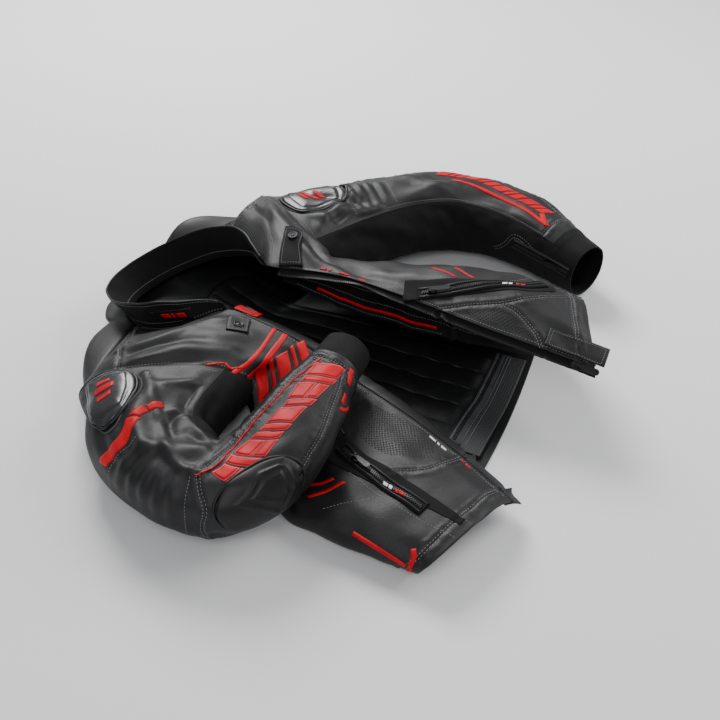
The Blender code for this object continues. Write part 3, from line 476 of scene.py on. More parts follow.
RIGHT_SLEEVE_CREASES = [
    Crease(0.10, 0.24, 0.30, 0.30, 0.014, 0.009),
    Crease(0.30, 0.30, 0.42, 0.22, 0.012, 0.007),
    Crease(0.14, 0.44, 0.26, 0.55, 0.020, 0.006),
    Crease(0.44, 0.20, 0.60, 0.24, 0.014, -0.004),
    Crease(0.085, 0.225, 0.060, 0.160, 0.008, 0.0045),
    Crease(0.060, 0.160, 0.200, 0.165, 0.008, -0.0060),
    Crease(0.205, 0.160, 0.225, 0.215, 0.007, 0.0045),
    Crease(0.220, 0.175, 0.320, 0.235, 0.009, -0.0060, 0.006),
    Crease(0.260, 0.160, 0.420, 0.170, 0.009, 0.0050, -0.006),
    Crease(0.340, 0.200, 0.440, 0.160, 0.008, -0.0045),
    Crease(0.12, 0.60, 0.30, 0.68, 0.016, 0.0050, 0.010),
    Crease(0.30, 0.64, 0.46, 0.56, 0.014, -0.0040),
    Crease(0.46, 0.64, 0.66, 0.60, 0.014, 0.0040, 0.008),
    Crease(0.60, 0.53, 0.80, 0.50, 0.012, 0.0030, -0.006),
    Crease(0.66, 0.20, 0.84, 0.24, 0.010, -0.0025, 0.004),
    Crease(0.20, 0.37, 0.29, 0.41, 0.009, -0.0035, 0.005),
    Crease(0.05, 0.48, 0.12, 0.66, 0.014, 0.0040),
    Crease(0.44, 0.50, 0.52, 0.62, 0.012, -0.0035, 0.006),
]
LEFT_SLEEVE_CREASES = [
    Crease(0.06, 0.17, 0.22, 0.24, 0.014, 0.007),
    Crease(0.12, 0.30, 0.30, 0.26, 0.016, 0.006),
    Crease(0.30, 0.16, 0.46, 0.22, 0.016, 0.006),
    Crease(0.34, 0.30, 0.44, 0.18, 0.014, 0.005),
    Crease(0.05, 0.22, 0.10, 0.170, 0.009, 0.0060, 0.004),
    Crease(0.10, 0.170, 0.16, 0.180, 0.008, -0.0060),
    Crease(0.15, 0.200, 0.25, 0.160, 0.010, 0.0060, -0.005),
    Crease(0.09, 0.270, 0.20, 0.205, 0.009, -0.0045, 0.006),
    Crease(0.22, 0.36, 0.36, 0.42, 0.016, 0.0050, 0.010),
    Crease(0.36, 0.25, 0.50, 0.31, 0.014, -0.0035, -0.008),
    Crease(0.50, 0.17, 0.66, 0.20, 0.012, -0.0040, 0.006),
    Crease(0.62, 0.38, 0.79, 0.41, 0.014, 0.0030),
    Crease(0.10, 0.52, 0.30, 0.60, 0.018, 0.0060, 0.012),
    Crease(0.40, 0.60, 0.62, 0.66, 0.016, -0.0050),
    Crease(0.68, 0.175, 0.79, 0.165, 0.009, 0.0030),
]
RIGHT_UNDER_CREASES = [
    Crease(0.12, 0.09, 0.26, 0.01, 0.010, -0.0050, 0.006),
    Crease(0.28, 0.08, 0.40, -0.03, 0.010, 0.0050),
    Crease(0.44, 0.09, 0.60, 0.02, 0.011, -0.0040, -0.005),
    Crease(0.60, 0.05, 0.80, 0.00, 0.010, 0.0030),
    Crease(0.20, -0.05, 0.36, -0.13, 0.012, 0.0040),
]
LEFT_UNDER_CREASES = [
    Crease(0.10, 0.10, 0.26, 0.01, 0.012, -0.0060, 0.008),
    Crease(0.24, 0.08, 0.40, -0.03, 0.012, 0.0050),
    Crease(0.42, 0.10, 0.58, 0.01, 0.012, -0.0045, -0.006),
    Crease(0.58, 0.06, 0.74, -0.04, 0.012, 0.0040),
    Crease(0.30, -0.05, 0.52, -0.13, 0.014, 0.0040),
]
BACK_CREASES = [
    Crease(0.05, 0.10, 0.12, 0.34, 0.014, 0.0040, 0.010),
    Crease(0.05, 0.66, 0.12, 0.92, 0.016, 0.0040, -0.010),
    Crease(0.03, 0.40, 0.10, 0.62, 0.010, -0.0030),
    Crease(0.14, 0.18, 0.26, 0.06, 0.014, -0.0030),
    Crease(0.14, 0.84, 0.26, 0.95, 0.014, -0.0030),
]
RIGHT_PLEATS = Pleats(0.295, 0.415, 5, 0.40, 0.12, 0.0030)
LEFT_PLEATS = Pleats(0.190, 0.290, 4, 0.27, 0.12, 0.0030)

RIGHT_FRONT_SEAMS = [
    Seam([(0.0, 0.10), (0.06, 0.35), (0.119, 0.627), (0.169, 0.881), (0.185, 1.0)]),
    Seam([(0.834, 0.345), (0.858, 0.285), (0.881, 0.220), (0.893, 0.12), (0.898, 0.02)]),
    Seam([(0.66, 0.292), (0.729, 0.318), (0.831, 0.330), (0.925, 0.352), (0.995, 0.330)], 1),
    Seam([(0.68, 0.405), (0.76, 0.440), (0.86, 0.462), (0.94, 0.470), (0.995, 0.455)], 1),
    Seam([(0.975, 0.02), (0.975, 0.35), (0.975, 0.70), (0.975, 0.98)]),
    Seam([(0.34, 0.035), (0.60, 0.028), (0.80, 0.022), (0.99, 0.022)], 1),
    Seam([(0.02, 0.965), (0.20, 0.968), (0.38, 0.965), (0.53, 0.960)], 1),
    Seam([(0.012, 0.04), (0.016, 0.40), (0.016, 0.95)], 1),
    Seam([(0.02, 0.03), (0.12, 0.03), (0.26, 0.035)], 1),
    Seam([(0.79, 0.68), (0.81, 0.60), (0.835, 0.53), (0.85, 0.47)], 1),
]
LEFT_FRONT_SEAMS = [
    Seam([(0.040, 0.0), (0.051, 0.10), (0.068, 0.305), (0.102, 0.542), (0.14, 0.78), (0.16, 1.0)]),
    Seam([(0.58, 0.045), (0.64, 0.090), (0.695, 0.136), (0.76, 0.215), (0.82, 0.322), (0.90, 0.52)], 1),
    Seam([(0.715, 0.0), (0.78, 0.102), (0.85, 0.190), (0.915, 0.305), (1.0, 0.458)]),
    Seam([(0.836, 0.172), (0.862, 0.165), (0.881, 0.136), (0.905, 0.066), (0.915, 0.0)]),
    Seam([(0.975, 0.02), (0.975, 0.35), (0.975, 0.70), (0.975, 0.98)]),
    Seam([(0.34, 0.022), (0.60, 0.020), (0.80, 0.018), (0.99, 0.018)], 1),
    Seam([(0.02, 0.962), (0.20, 0.962), (0.38, 0.960), (0.53, 0.955)], 1),
    Seam([(0.012, 0.04), (0.016, 0.40), (0.016, 0.95)], 1),
    Seam([(0.02, 0.028), (0.12, 0.028), (0.26, 0.028)], 1),
    Seam([(0.10, 0.545), (0.20, 0.50), (0.27, 0.30), (0.29, 0.03)], 1),
]
RIGHT_SLEEVE_SEAMS = [
    Seam([(0.43, 0.285), (0.50, 0.215), (0.56, 0.178), (0.644, 0.158), (0.74, 0.165), (0.87, 0.205)]),
    Seam([(0.60, 0.445), (0.64, 0.418), (0.729, 0.392), (0.80, 0.376), (0.868, 0.356)]),
    Seam([(0.872, 0.142), (0.872, 0.30), (0.872, 0.50), (0.872, 0.78)]),
    Seam([(0.435, 0.300), (0.445, 0.360), (0.455, 0.430), (0.448, 0.520), (0.45, 0.62)]),
    Seam([(0.015, 0.145), (0.015, 0.30), (0.015, 0.50), (0.015, 0.78)], 1),
    Seam([(0.288, 0.30), (0.285, 0.42), (0.282, 0.55)], 1),
    Seam([(0.422, 0.31), (0.425, 0.42), (0.424, 0.55)], 1),
]
LEFT_SLEEVE_SEAMS = [
    Seam([(0.808, 0.140), (0.808, 0.30), (0.808, 0.50), (0.808, 0.78)]),
    Seam([(0.015, 0.145), (0.015, 0.30), (0.015, 0.50), (0.015, 0.78)], 1),
    Seam([(0.182, 0.16), (0.182, 0.27), (0.182, 0.42)], 1),
    Seam([(0.298, 0.16), (0.298, 0.27), (0.298, 0.42)], 1),
    Seam([(0.30, 0.345), (0.42, 0.385), (0.56, 0.375), (0.70, 0.345), (0.80, 0.335)]),
    Seam([(0.27, 0.150), (0.40, 0.148), (0.56, 0.146), (0.70, 0.146), (0.80, 0.146)], 1),
]
LEFT_UNDER_SEAMS = [
    Seam([(0.650, -0.02), (0.690, 0.012), (0.715, 0.066), (0.760, 0.066), (0.808, 0.045)]),
]
# The raised, rolled seam round the near armhole's stretch insert
RIGHT_ROLL = [
    (0.040, 0.268), (0.102, 0.254), (0.203, 0.237), (0.271, 0.237),
    (0.330, 0.258), (0.370, 0.280), (0.400, 0.292), (0.430, 0.290),
]
# The perforated fields
RIGHT_FRONT_FIELD = [(0.69, 0.06), (0.76, 0.04), (0.85, 0.04), (0.872, 0.15), (0.81, 0.27), (0.70, 0.25)]
LEFT_FRONT_FIELD = [(0.765, 0.035), (0.80, 0.10), (0.835, 0.150), (0.870, 0.115), (0.895, 0.035)]
LEFT_YOKE_FIELD = [(0.085, 0.14), (0.115, 0.44), (0.19, 0.42), (0.262, 0.26), (0.275, 0.06), (0.16, 0.04)]


def creased(panel, creases):
    """How far these creases lift every point of a panel."""
    lift = np.zeros(panel.u.shape)
    for crease in creases:
        scale = panel.scale((crease.u + crease.to_u) / 2, (crease.v + crease.to_v) / 2)
        start = np.array([crease.u, crease.v]) * scale
        run = np.array([crease.to_u, crease.to_v]) * scale - start
        length = np.linalg.norm(run)
        way = run / length
        x, y = panel.u * scale[0] - start[0], panel.v * scale[1] - start[1]
        along_it, across_it = x * way[0] + y * way[1], y * way[0] - x * way[1]
        share = np.clip(along_it / length, 0, 1)
        past = along_it - share * length
        aside = across_it - crease.bow * 4 * share * (1 - share)
        ends = 0.55 + 0.45 * np.sin(math.pi * share)
        lift += crease.height * ends * np.exp(-(past**2 + aside**2) / crease.width**2)
    return lift


def pleated(panel, pleats):
    share = (panel.u - pleats.u) / (pleats.to_u - pleats.u)
    side = np.maximum(0.0, 1 - ((panel.v - pleats.v) / pleats.half_width) ** 2)
    inside = (share > 0) & (share < 1)
    fold = np.sin(math.pi * pleats.count * share) ** 2
    fine = np.sin(3 * math.pi * pleats.count * share) ** 2
    return inside * side * (pleats.height * fold + 0.0008 * fine)


def fading(panel, u_seams, v_seams, reach):
    """0 at the seams, rising softly to 1 this far away in u and v."""
    gaps = [np.abs(panel.u - seam) for seam in u_seams]
    gaps += [np.abs(panel.v - seam) for seam in v_seams]
    fade = np.minimum(1.0, np.minimum.reduce(gaps) / reach)
    return fade * fade * (3 - 2 * fade)


def unevenness(panel, seed, size, height):
    """A slow wander of the cloth, as a few waves of about this size in metres."""
    dice = random.Random(seed)
    lift = np.zeros(panel.u.shape)
    for _ in range(9):
        turn, phase = dice.uniform(0, math.pi), dice.uniform(0, 2 * math.pi)
        wave = size * dice.uniform(0.6, 1.8)
        x = panel.metres[..., 0] * math.cos(turn) + panel.metres[..., 1] * math.sin(turn)
        lift += np.sin(2 * math.pi * x / wave + phase + 0.7 * np.sin(x / size + phase))
    return height * lift / 3


def nearest_seam(panel, seams):
    """How far every point is from the nearest double-stitched seam, in metres."""
    nearest = np.full(panel.u.shape, 0.05)
    for seam in seams:
        if seam.rows == 2:
            nearest = np.minimum(nearest, panel.distance(seam.spots))
    return nearest


def puckered(panel, seams, seed):
    """The groove and the puckered lips that sewing leaves along these seams."""
    away = nearest_seam(panel, seams)
    pucker = unevenness(panel, seed, 0.011, 1.0)
    lips = np.exp(-(((away - 0.0055) / 0.0040) ** 2))
    return lips * (0.0010 + 0.0005 * pucker) - 0.0012 * np.exp(-((away / 0.0026) ** 2))


def field(panel, corners):
    """How deep every point lies inside this outline, in metres, and negative outside."""
    spots = np.array(corners)
    outline = panel.read(panel.metres, spots[:, 0], spots[:, 1])
    x, y = panel.metres[..., 0], panel.metres[..., 1]
    nearest = np.full(x.shape, 1.0)
    inside = np.zeros(x.shape, bool)
    for start, end in zip(outline, np.roll(outline, -1, axis=0)):
        run = end - start
        share = np.clip(((x - start[0]) * run[0] + (y - start[1]) * run[1]) / (run @ run), 0, 1)
        nearest = np.minimum(nearest, np.hypot(x - start[0] - share * run[0], y - start[1] - share * run[1]))
        crossing = (start[1] > y) != (end[1] > y)
        height = np.where(abs(run[1]) < 1e-9, 1e-9, run[1])
        inside ^= crossing & (x < run[0] * (y - start[1]) / height + start[0])
    return np.where(inside, nearest, -nearest)


def edge_steps(count, start=0.0, end=1.0, crowd=0.4):
    """Numbers from start to end, closer together towards both ends."""
    even = np.linspace(0, 1, count + 1)
    eased = (1 - np.cos(math.pi * even)) / 2
    return start + (end - start) * ((1 - crowd) * even + crowd * eased)


@cache
def right_front():
    def shape(panel):
        soft = fading(panel, (0.0,), (0.0, 1.0), 0.12)
        near = fading(panel, (0.0,), (0.0, 1.0), 0.05)
        lift = soft * creased(panel, RIGHT_FRONT_CREASES[:4])
        lift += near * (creased(panel, RIGHT_FRONT_CREASES[4:]) + unevenness(panel, 3, 0.05, 0.0009))
        return lift + puckered(panel, RIGHT_FRONT_SEAMS, 11)

    return Panel(right_front_place, -1, edge_steps(232), edge_steps(104), shape)


@cache
def left_front():
    def shape(panel):
        soft = fading(panel, (0.0,), (0.0, 1.0), 0.12)
        near = fading(panel, (0.0,), (0.0, 1.0), 0.05)
        lift = soft * creased(panel, LEFT_FRONT_CREASES[:3])
        lift += near * (creased(panel, LEFT_FRONT_CREASES[3:]) + unevenness(panel, 4, 0.05, 0.0009))
        return lift + puckered(panel, LEFT_FRONT_SEAMS, 12)

    return Panel(left_front_place, 1, edge_steps(228), edge_steps(110), shape)


@cache
def right_sleeve():
    def shape(panel):
        fade = fading(panel, (0.0, CUFF_START), SLEEVE_SEAMS, 0.03)
        lift = creased(panel, RIGHT_SLEEVE_CREASES) + pleated(panel, RIGHT_PLEATS)
        lift = fade * (lift + unevenness(panel, 5, 0.045, 0.0008))
        lift += 0.0042 * np.exp(-((panel.distance(RIGHT_ROLL) / 0.0058) ** 2))
        return lift + puckered(panel, RIGHT_SLEEVE_SEAMS, 13)

    us = edge_steps(276, 0.0, CUFF_START)
    return Panel(right_sleeve_place, -1, us, edge_steps(106, *SLEEVE_SEAMS), shape)


@cache
def left_sleeve():
    def shape(panel):
        fade = fading(panel, (0.0, CUFF_START), SLEEVE_SEAMS, 0.03)
        lift = creased(panel, LEFT_SLEEVE_CREASES) + pleated(panel, LEFT_PLEATS)
        lift = fade * (lift + unevenness(panel, 6, 0.05, 0.0008))
        return lift + puckered(panel, LEFT_SLEEVE_SEAMS, 14)

    us = edge_steps(250, 0.0, CUFF_START)
    return Panel(left_sleeve_place, 1, us, edge_steps(96, *SLEEVE_SEAMS), shape)


def under_sleeve(place, outward, creases, seed):
    def shape(panel):
        seams = (SLEEVE_SEAMS[1] - 1, SLEEVE_SEAMS[0])
        fade = fading(panel, (0.0, CUFF_START), seams, 0.03)
        return fade * (creased(panel, creases) + unevenness(panel, seed, 0.03, 0.0007))

    us = edge_steps(170, 0.0, CUFF_START)
    vs = edge_steps(48, SLEEVE_SEAMS[1] - 1, SLEEVE_SEAMS[0])
    return Panel(place, outward, us, vs, shape)


@cache
def right_under_sleeve():
    return under_sleeve(right_sleeve_place, -1, RIGHT_UNDER_CREASES, 7)


@cache
def left_under_sleeve():
    return under_sleeve(left_sleeve_place, 1, LEFT_UNDER_CREASES, 8)


def cuff(place, outward, seed):
    def shape(panel):
        start = np.minimum(1.0, (panel.u - CUFF_START) / 0.02)
        return start * unevenness(panel, seed, 0.03, 0.0007) * np.sin(2 * math.pi * panel.v) ** 2

    return Panel(place, outward, np.linspace(CUFF_START, 1.0, 40), np.linspace(0, 1, 97), shape)


@cache
def right_cuff():
    return cuff(right_sleeve_place, -1, 9)


@cache
def left_cuff():
    return cuff(left_sleeve_place, 1, 10)


@cache
def back():
    def shape(panel):
        fade = fading(panel, (0.0, 1.0), (0.0, 1.0), 0.04)
        return fade * creased(panel, BACK_CREASES)

    return Panel(back_place, -1, edge_steps(150, crowd=0.7), edge_steps(112, crowd=0.7), shape)


LINING_US = (0.198, 0.972)
LINING_VS = (0.117, 0.883)
QUILT_LINES = 9


@cache
def lining():
    """The back's quilted lining. Its outside is the back's, so the quilting stands inwards."""

    def shape(panel):
        across = (panel.v - LINING_VS[0]) / (LINING_VS[1] - LINING_VS[0]) * QUILT_LINES
        lean = 0.35 * np.sin(3.0 * panel.u)
        line = np.abs(np.sin(math.pi * (across + lean)))
        cross = np.abs(np.sin(math.pi * (panel.u * 5 + 0.2)))
        fade = fading(panel, LINING_US, LINING_VS, 0.03) * np.clip((0.885 - panel.u) / 0.02, 0, 1)
        quilt = np.minimum(line, 0.5 + cross) ** 0.5
        return -fade * (0.0032 * quilt + unevenness(panel, 15, 0.05, 0.0010) + 0.0006)

    us, vs = np.linspace(*LINING_US, 120), np.linspace(*LINING_VS, 190)
    return Panel(back_place, -1, us, vs, shape)


@cache
def collar():
    def shape(panel):
        base = np.exp(-(((panel.v - 0.16) / 0.05) ** 2))
        fade = np.minimum(1.0, np.minimum(panel.u, 1 - panel.u) / 0.05)
        return fade * (unevenness(panel, 16, 0.05, 0.0008) * panel.v - 0.0008 * base)

    return Panel(collar_place, -1, np.linspace(0, 1, 201), np.linspace(0, 1, 25), shape)


def edge_strip(front, first_u, inside, beyond, droop, columns=14):
    """A strip along a front's zip edge. v runs from inside the edge to beyond it."""

    def place(u, v):
        at_u = first_u + (1 - first_u) * u
        across = front.read(front.across, at_u, 0 * at_u)
        reach = (inside + beyond) * v - inside
        way = across / np.linalg.norm(across, axis=-1, keepdims=True)
        inner_v = np.maximum(-reach, 0) / np.linalg.norm(across, axis=-1)
        point = front.read(front.points, at_u, inner_v)
        point = point - way * np.maximum(reach, 0)[..., None]
        point[..., 2] -= droop * (np.maximum(reach, 0.0) / beyond) ** 2
        return point

    us, vs = np.linspace(0, 1, 181), np.linspace(0, 1, columns)
    return Panel(place, -front.outward, us, vs, shifted=False)


@cache
def right_flap():
    return edge_strip(right_front(), FLAP_START, 0.008, FLAP_WIDTH, 0.006)


@cache
def right_tape():
    return edge_strip(right_front(), ZIP_START, 0.008, 0.007, 0.0)


@cache
def left_tape():
    return edge_strip(left_front(), ZIP_START, 0.008, 0.012, 0.0)


@cache
def facing():
    """The left facing hangs from the inside of the zip edge, bowed away from the opening."""
    front = left_front()

    def place(u, v):
        at_u = FACING_START + (1 - FACING_START) * u
        across = front.read(front.across, at_u, 0 * at_u)
        inner_v = 0.006 / np.linalg.norm(across, axis=-1)
        top = front.at(at_u, inner_v, np.full(at_u.shape, -0.0042))
        hem_share = np.maximum(0.0, (u - 0.5) / 0.5)
        drop = FACING_DROP * (0.55 + 0.45 * np.minimum(1.0, u / 0.25))
        drop = drop * (1 - 0.78 * hem_share**1.3)
        away = 0.016 * np.sin(v * math.pi * 0.6)
        return top + np.stack([0 * u, away, -drop * v], -1)

    return Panel(place, 1, np.linspace(0, 1, 181), np.linspace(0, 1, 31), shifted=False)


class Value:
    """A number, colour or vector of a material. Arithmetic on it adds the Math nodes."""

    def __init__(self, paint, socket):
        self.paint = paint
        self.socket = socket

    def __add__(self, other):
        return self.paint.maths("ADD", self, other)

    def __radd__(self, other):
        return self.paint.maths("ADD", other, self)

    def __sub__(self, other):
        return self.paint.maths("SUBTRACT", self, other)

    def __rsub__(self, other):
        return self.paint.maths("SUBTRACT", other, self)

    def __mul__(self, other):
        return self.paint.maths("MULTIPLY", self, other)

    def __rmul__(self, other):
        return self.paint.maths("MULTIPLY", other, self)

    def __truediv__(self, other):
        return self.paint.maths("DIVIDE", self, other)

    def __rtruediv__(self, other):
        return self.paint.maths("DIVIDE", other, self)


class Paint:
    """A material and the nodes that make its finish."""

    def __init__(self, name, colour, roughness, **settings):
        self.material = bpy.data.materials.new(name)
        self.material.use_nodes = True
        self.tree = self.material.node_tree
        self.shader = self.tree.nodes["Principled BSDF"]
        self.shader.inputs["Base Color"].default_value = (*colour, 1.0)
        self.shader.inputs["Roughness"].default_value = roughness
        for socket, value in settings.items():
            self.shader.inputs[socket.replace("_", " ")].default_value = value

    def node(self, kind, settings=None, sockets=None, out=0):
        """A node of this type, with its settings, then the values or links of its sockets."""
        node = self.tree.nodes.new(kind)
        for setting, value in (settings or {}).items():
            setattr(node, setting, value)
        for socket, value in (sockets or {}).items():
            if isinstance(value, Value):
                self.tree.links.new(value.socket, node.inputs[socket])
            elif value is not None:
                node.inputs[socket].default_value = value
        return Value(self, node.outputs[out])

    def maths(self, operation, first, second=None):
        sockets = {0: first} if second is None else {0: first, 1: second}
        return self.node("ShaderNodeMath", {"operation": operation}, sockets)

    def metres(self):
        """The cloth's own coordinates, in metres."""
        return self.node("ShaderNodeUVMap", {"uv_map": "metres"})

    def part(self, vector, axis):
        return self.node("ShaderNodeSeparateXYZ", None, {0: vector}, axis)

    def noise(self, where, scale, detail=2.0, rough=0.5, distortion=0.0):
        sockets = {"Vector": where, "Scale": scale, "Detail": detail}
        sockets.update({"Roughness": rough, "Distortion": distortion})
        return self.node("ShaderNodeTexNoise", None, sockets)

    def cells(self, where, scale):
        return self.node("ShaderNodeTexVoronoi", None, {"Vector": where, "Scale": scale})

    def attribute(self, name):
        """A number stored on the mesh, such as a distance to a seam."""
        return self.node("ShaderNodeAttribute", {"attribute_name": name}, None, 2)

    def soft_step(self, value, low, high):
        """0 below low, 1 above high, and a soft rise between them."""
        sockets = {"Value": value, "From Min": low, "From Max": high}
        return self.node("ShaderNodeMapRange", {"interpolation_type": "SMOOTHSTEP"}, sockets)

    def between(self, factor, first, second):
        """A mix of two colours."""
        sockets = {0: factor, 6: first, 7: second}
        return self.node("ShaderNodeMix", {"data_type": "RGBA"}, sockets, 2)

    def relief(self, height, depth):
        """A bump of this height field."""
        sockets = {"Height": height, "Distance": depth, "Strength": 1.0}
        return self.node("ShaderNodeBump", None, sockets)

    def set(self, **values):
        """Feeds these sockets of the shader."""
        for socket, value in values.items():
            self.tree.links.new(value.socket, self.shader.inputs[socket.replace("_", " ")])
        return self.material


def colour_of(name):
    return tuple(getattr(bpy.context.scene.jacket_colours, name))


def shaded(name, factor):
    """A colour of the jacket, made darker or lighter by this factor."""
    return (*(min(1.0, factor * part) for part in colour_of(name)), 1.0)


@cache
def leather():
    paint = Paint("black_leather", colour_of("leather"), 0.5, Specular_IOR_Level=0.34)
    metres = paint.metres()
    pebbles = paint.cells(metres, 800.0)
    fine = paint.noise(metres, 1400.0, 3.0, 0.6)
    wrinkles = paint.noise(metres, 60.0, 5.0, 0.65, 1.2)
    broad = paint.noise(metres, 14.0, 3.0, 0.5)
    seam = paint.attribute("seam")
    groove_and_shade = 1 - paint.soft_step(seam, 0.0, 0.0011)
    hole = perforation(paint, metres)
    height = pebbles * 0.8 + fine * 0.5 + wrinkles * 3.0 - groove_and_shade * 5.0 - hole * 5.0
    tone = paint.soft_step(broad + wrinkles * 0.4, 0.45, 0.95)
    worn = paint.between(tone, shaded("leather", 0.7), shaded("leather", 1.6))
    # The seam groove and the punched holes are painted near-black: this is painted shade in these recesses.
    # The same groove mask also sinks the bump.
    colour = paint.between(paint.maths("MAXIMUM", hole, groove_and_shade * 0.8), worn, (0.0015, 0.0015, 0.0015, 1))
    roughness = 0.38 + 0.18 * broad + 0.10 * fine + 0.25 * hole
    return paint.set(Base_Color=colour, Roughness=roughness, Normal=paint.relief(height, 0.00013))


def perforation(paint, metres, gap=0.0054, radius=0.00105):
    """1 inside the punched holes of the perforated fields."""
    zone = paint.soft_step(paint.attribute("field"), 0.0, 0.0015)
    nearest = None
    for shift in (0.0, 0.5):
        x = paint.maths("FRACT", paint.part(metres, 0) / gap + (7 + shift)) - 0.5
        y = paint.maths("FRACT", paint.part(metres, 1) / gap + (99 + shift)) - 0.5
        square = x * x + y * y
        nearest = square if nearest is None else paint.maths("MINIMUM", nearest, square)
    inside = 1 - paint.soft_step(nearest, (radius / gap) ** 2 * 0.6, (radius / gap) ** 2 * 1.5)
    return zone * inside


@cache
def stretch_cloth():
    paint = Paint("black_stretch_cloth", colour_of("stretch"), 0.8, Specular_IOR_Level=0.2)
    metres = paint.metres()
    ribs = paint.maths("SINE", paint.part(metres, 1) * 3600.0)
    fine = paint.noise(metres, 900.0, 2.0)
    return paint.set(Normal=paint.relief(ribs * 0.5 + fine, 0.00018))


@cache
def lining_cloth():
    paint = Paint("black_lining", colour_of("lining"), 0.5, Specular_IOR_Level=0.3)
    metres = paint.metres()
    fine = paint.noise(metres, 700.0, 2.0)
    broad = paint.noise(metres, 35.0, 3.0, 0.55, 0.8)
    return paint.set(Normal=paint.relief(fine * 0.3 + broad * 2.5, 0.0003))


@cache
def mesh_cloth():
    """Open mesh: a lattice of dark holes in a grey weave."""
    paint = Paint("grey_mesh", (0.030, 0.031, 0.033), 0.6)
    metres = paint.metres()
    x = paint.maths("ABSOLUTE", paint.maths("SINE", paint.part(metres, 0) * 900.0))
    y = paint.maths("ABSOLUTE", paint.maths("SINE", paint.part(metres, 1) * 900.0))
    weave = paint.soft_step(x * y, 0.25, 0.5)
    colour = paint.between(weave, (0.034, 0.035, 0.038, 1), (0.004, 0.004, 0.004, 1))
    return paint.set(Base_Color=colour, Normal=paint.relief(1 - weave, 0.0003))


def rubbery(name, slot, roughness, size=500.0, depth=0.00005, specular=0.3):
    """A soft moulded or printed finish with a fine matt skin."""
    paint = Paint(name, colour_of(slot), roughness, Specular_IOR_Level=specular)
    metres = paint.node("ShaderNodeTexCoord", None, None, 3)
    skin = paint.noise(metres, size, 3.0, 0.6)
    broad = paint.noise(metres, 40.0, 3.0)
    tint = paint.between(paint.soft_step(broad, 0.35, 0.7), shaded(slot, 0.85), shaded(slot, 1.15))
    rough = roughness - 0.06 + 0.14 * skin
    return paint.set(Base_Color=tint, Roughness=rough, Normal=paint.relief(skin, depth))


@cache
def cup_rubber():
    return rubbery("grey_cup_rubber", "cup", 0.28, specular=0.5)


@cache
def red_ink():
    return rubbery("red_print", "red", 0.48, specular=0.15)


@cache
def pale_red_ink():
    return rubbery("pale_red_edge", "pale_red", 0.5, specular=0.15)


@cache
def white_ink():
    return rubbery("white_print", "white", 0.5)


@cache
def grey_tape():
    return rubbery("grey_tape", "tape", 0.7, 900.0, 0.0002)


@cache
def thread():
    return rubbery("grey_thread", "thread", 0.7, 2500.0, 0.0001)


@cache
def black_zip():
    return rubbery("black_zip", "zip_black", 0.4)


@cache
def dark_metal():
    paint = Paint("dark_metal", colour_of("metal"), 0.4, Metallic=1.0)
    where = paint.node("ShaderNodeTexCoord", None, None, 3)
    rubbed = paint.noise(where, 300.0, 4.0, 0.6)
    return paint.set(Roughness=0.34 + 0.20 * rubbed, Normal=paint.relief(rubbed, 0.00003))


@cache
def plain_leather():
    """The leather of beads, piping and moulded pieces, which have no cloth coordinates."""
    return rubbery("plain_leather", "leather", 0.45, 700.0, 0.0001)


def grid_faces(rows, columns, start=0, flip=False):
    """The quads between the points of a grid."""
    corner = start + np.arange(rows - 1)[:, None] * columns + np.arange(columns - 1)
    quads = np.stack([corner, corner + 1, corner + columns + 1, corner + columns], -1)
    quads = quads.reshape(-1, 4)
    return quads[:, ::-1] if flip else quads


def add_piece(name, points, faces, materials, uvs=None, slots=None, marks=None, smooth=True):
    """One mesh object. uvs and marks hold a value for each point, slots one for each face."""
    mesh = bpy.data.meshes.new(name)
    mesh.from_pydata(np.asarray(points).tolist(), [], [list(map(int, face)) for face in faces])
    for material in materials:
        mesh.materials.append(material)
    if uvs is not None:
        corners = np.zeros(len(mesh.loops), np.int32)
        mesh.loops.foreach_get("vertex_index", corners)
        layer = mesh.uv_layers.new(name="metres")
        layer.data.foreach_set("uv", np.asarray(uvs, np.float32)[corners].ravel())
    for mark, values in (marks or {}).items():
        attribute = mesh.attributes.new(mark, "FLOAT", "POINT")
        attribute.data.foreach_set("value", np.asarray(values, np.float32).ravel())
    if slots is not None:
        mesh.polygons.foreach_set("material_index", np.asarray(slots, np.int32))
    mesh.polygons.foreach_set("use_smooth", np.full(len(mesh.polygons), smooth))
    mesh.update()
    piece = bpy.data.objects.new(name, mesh)
    bpy.context.scene.collection.objects.link(piece)
    return piece


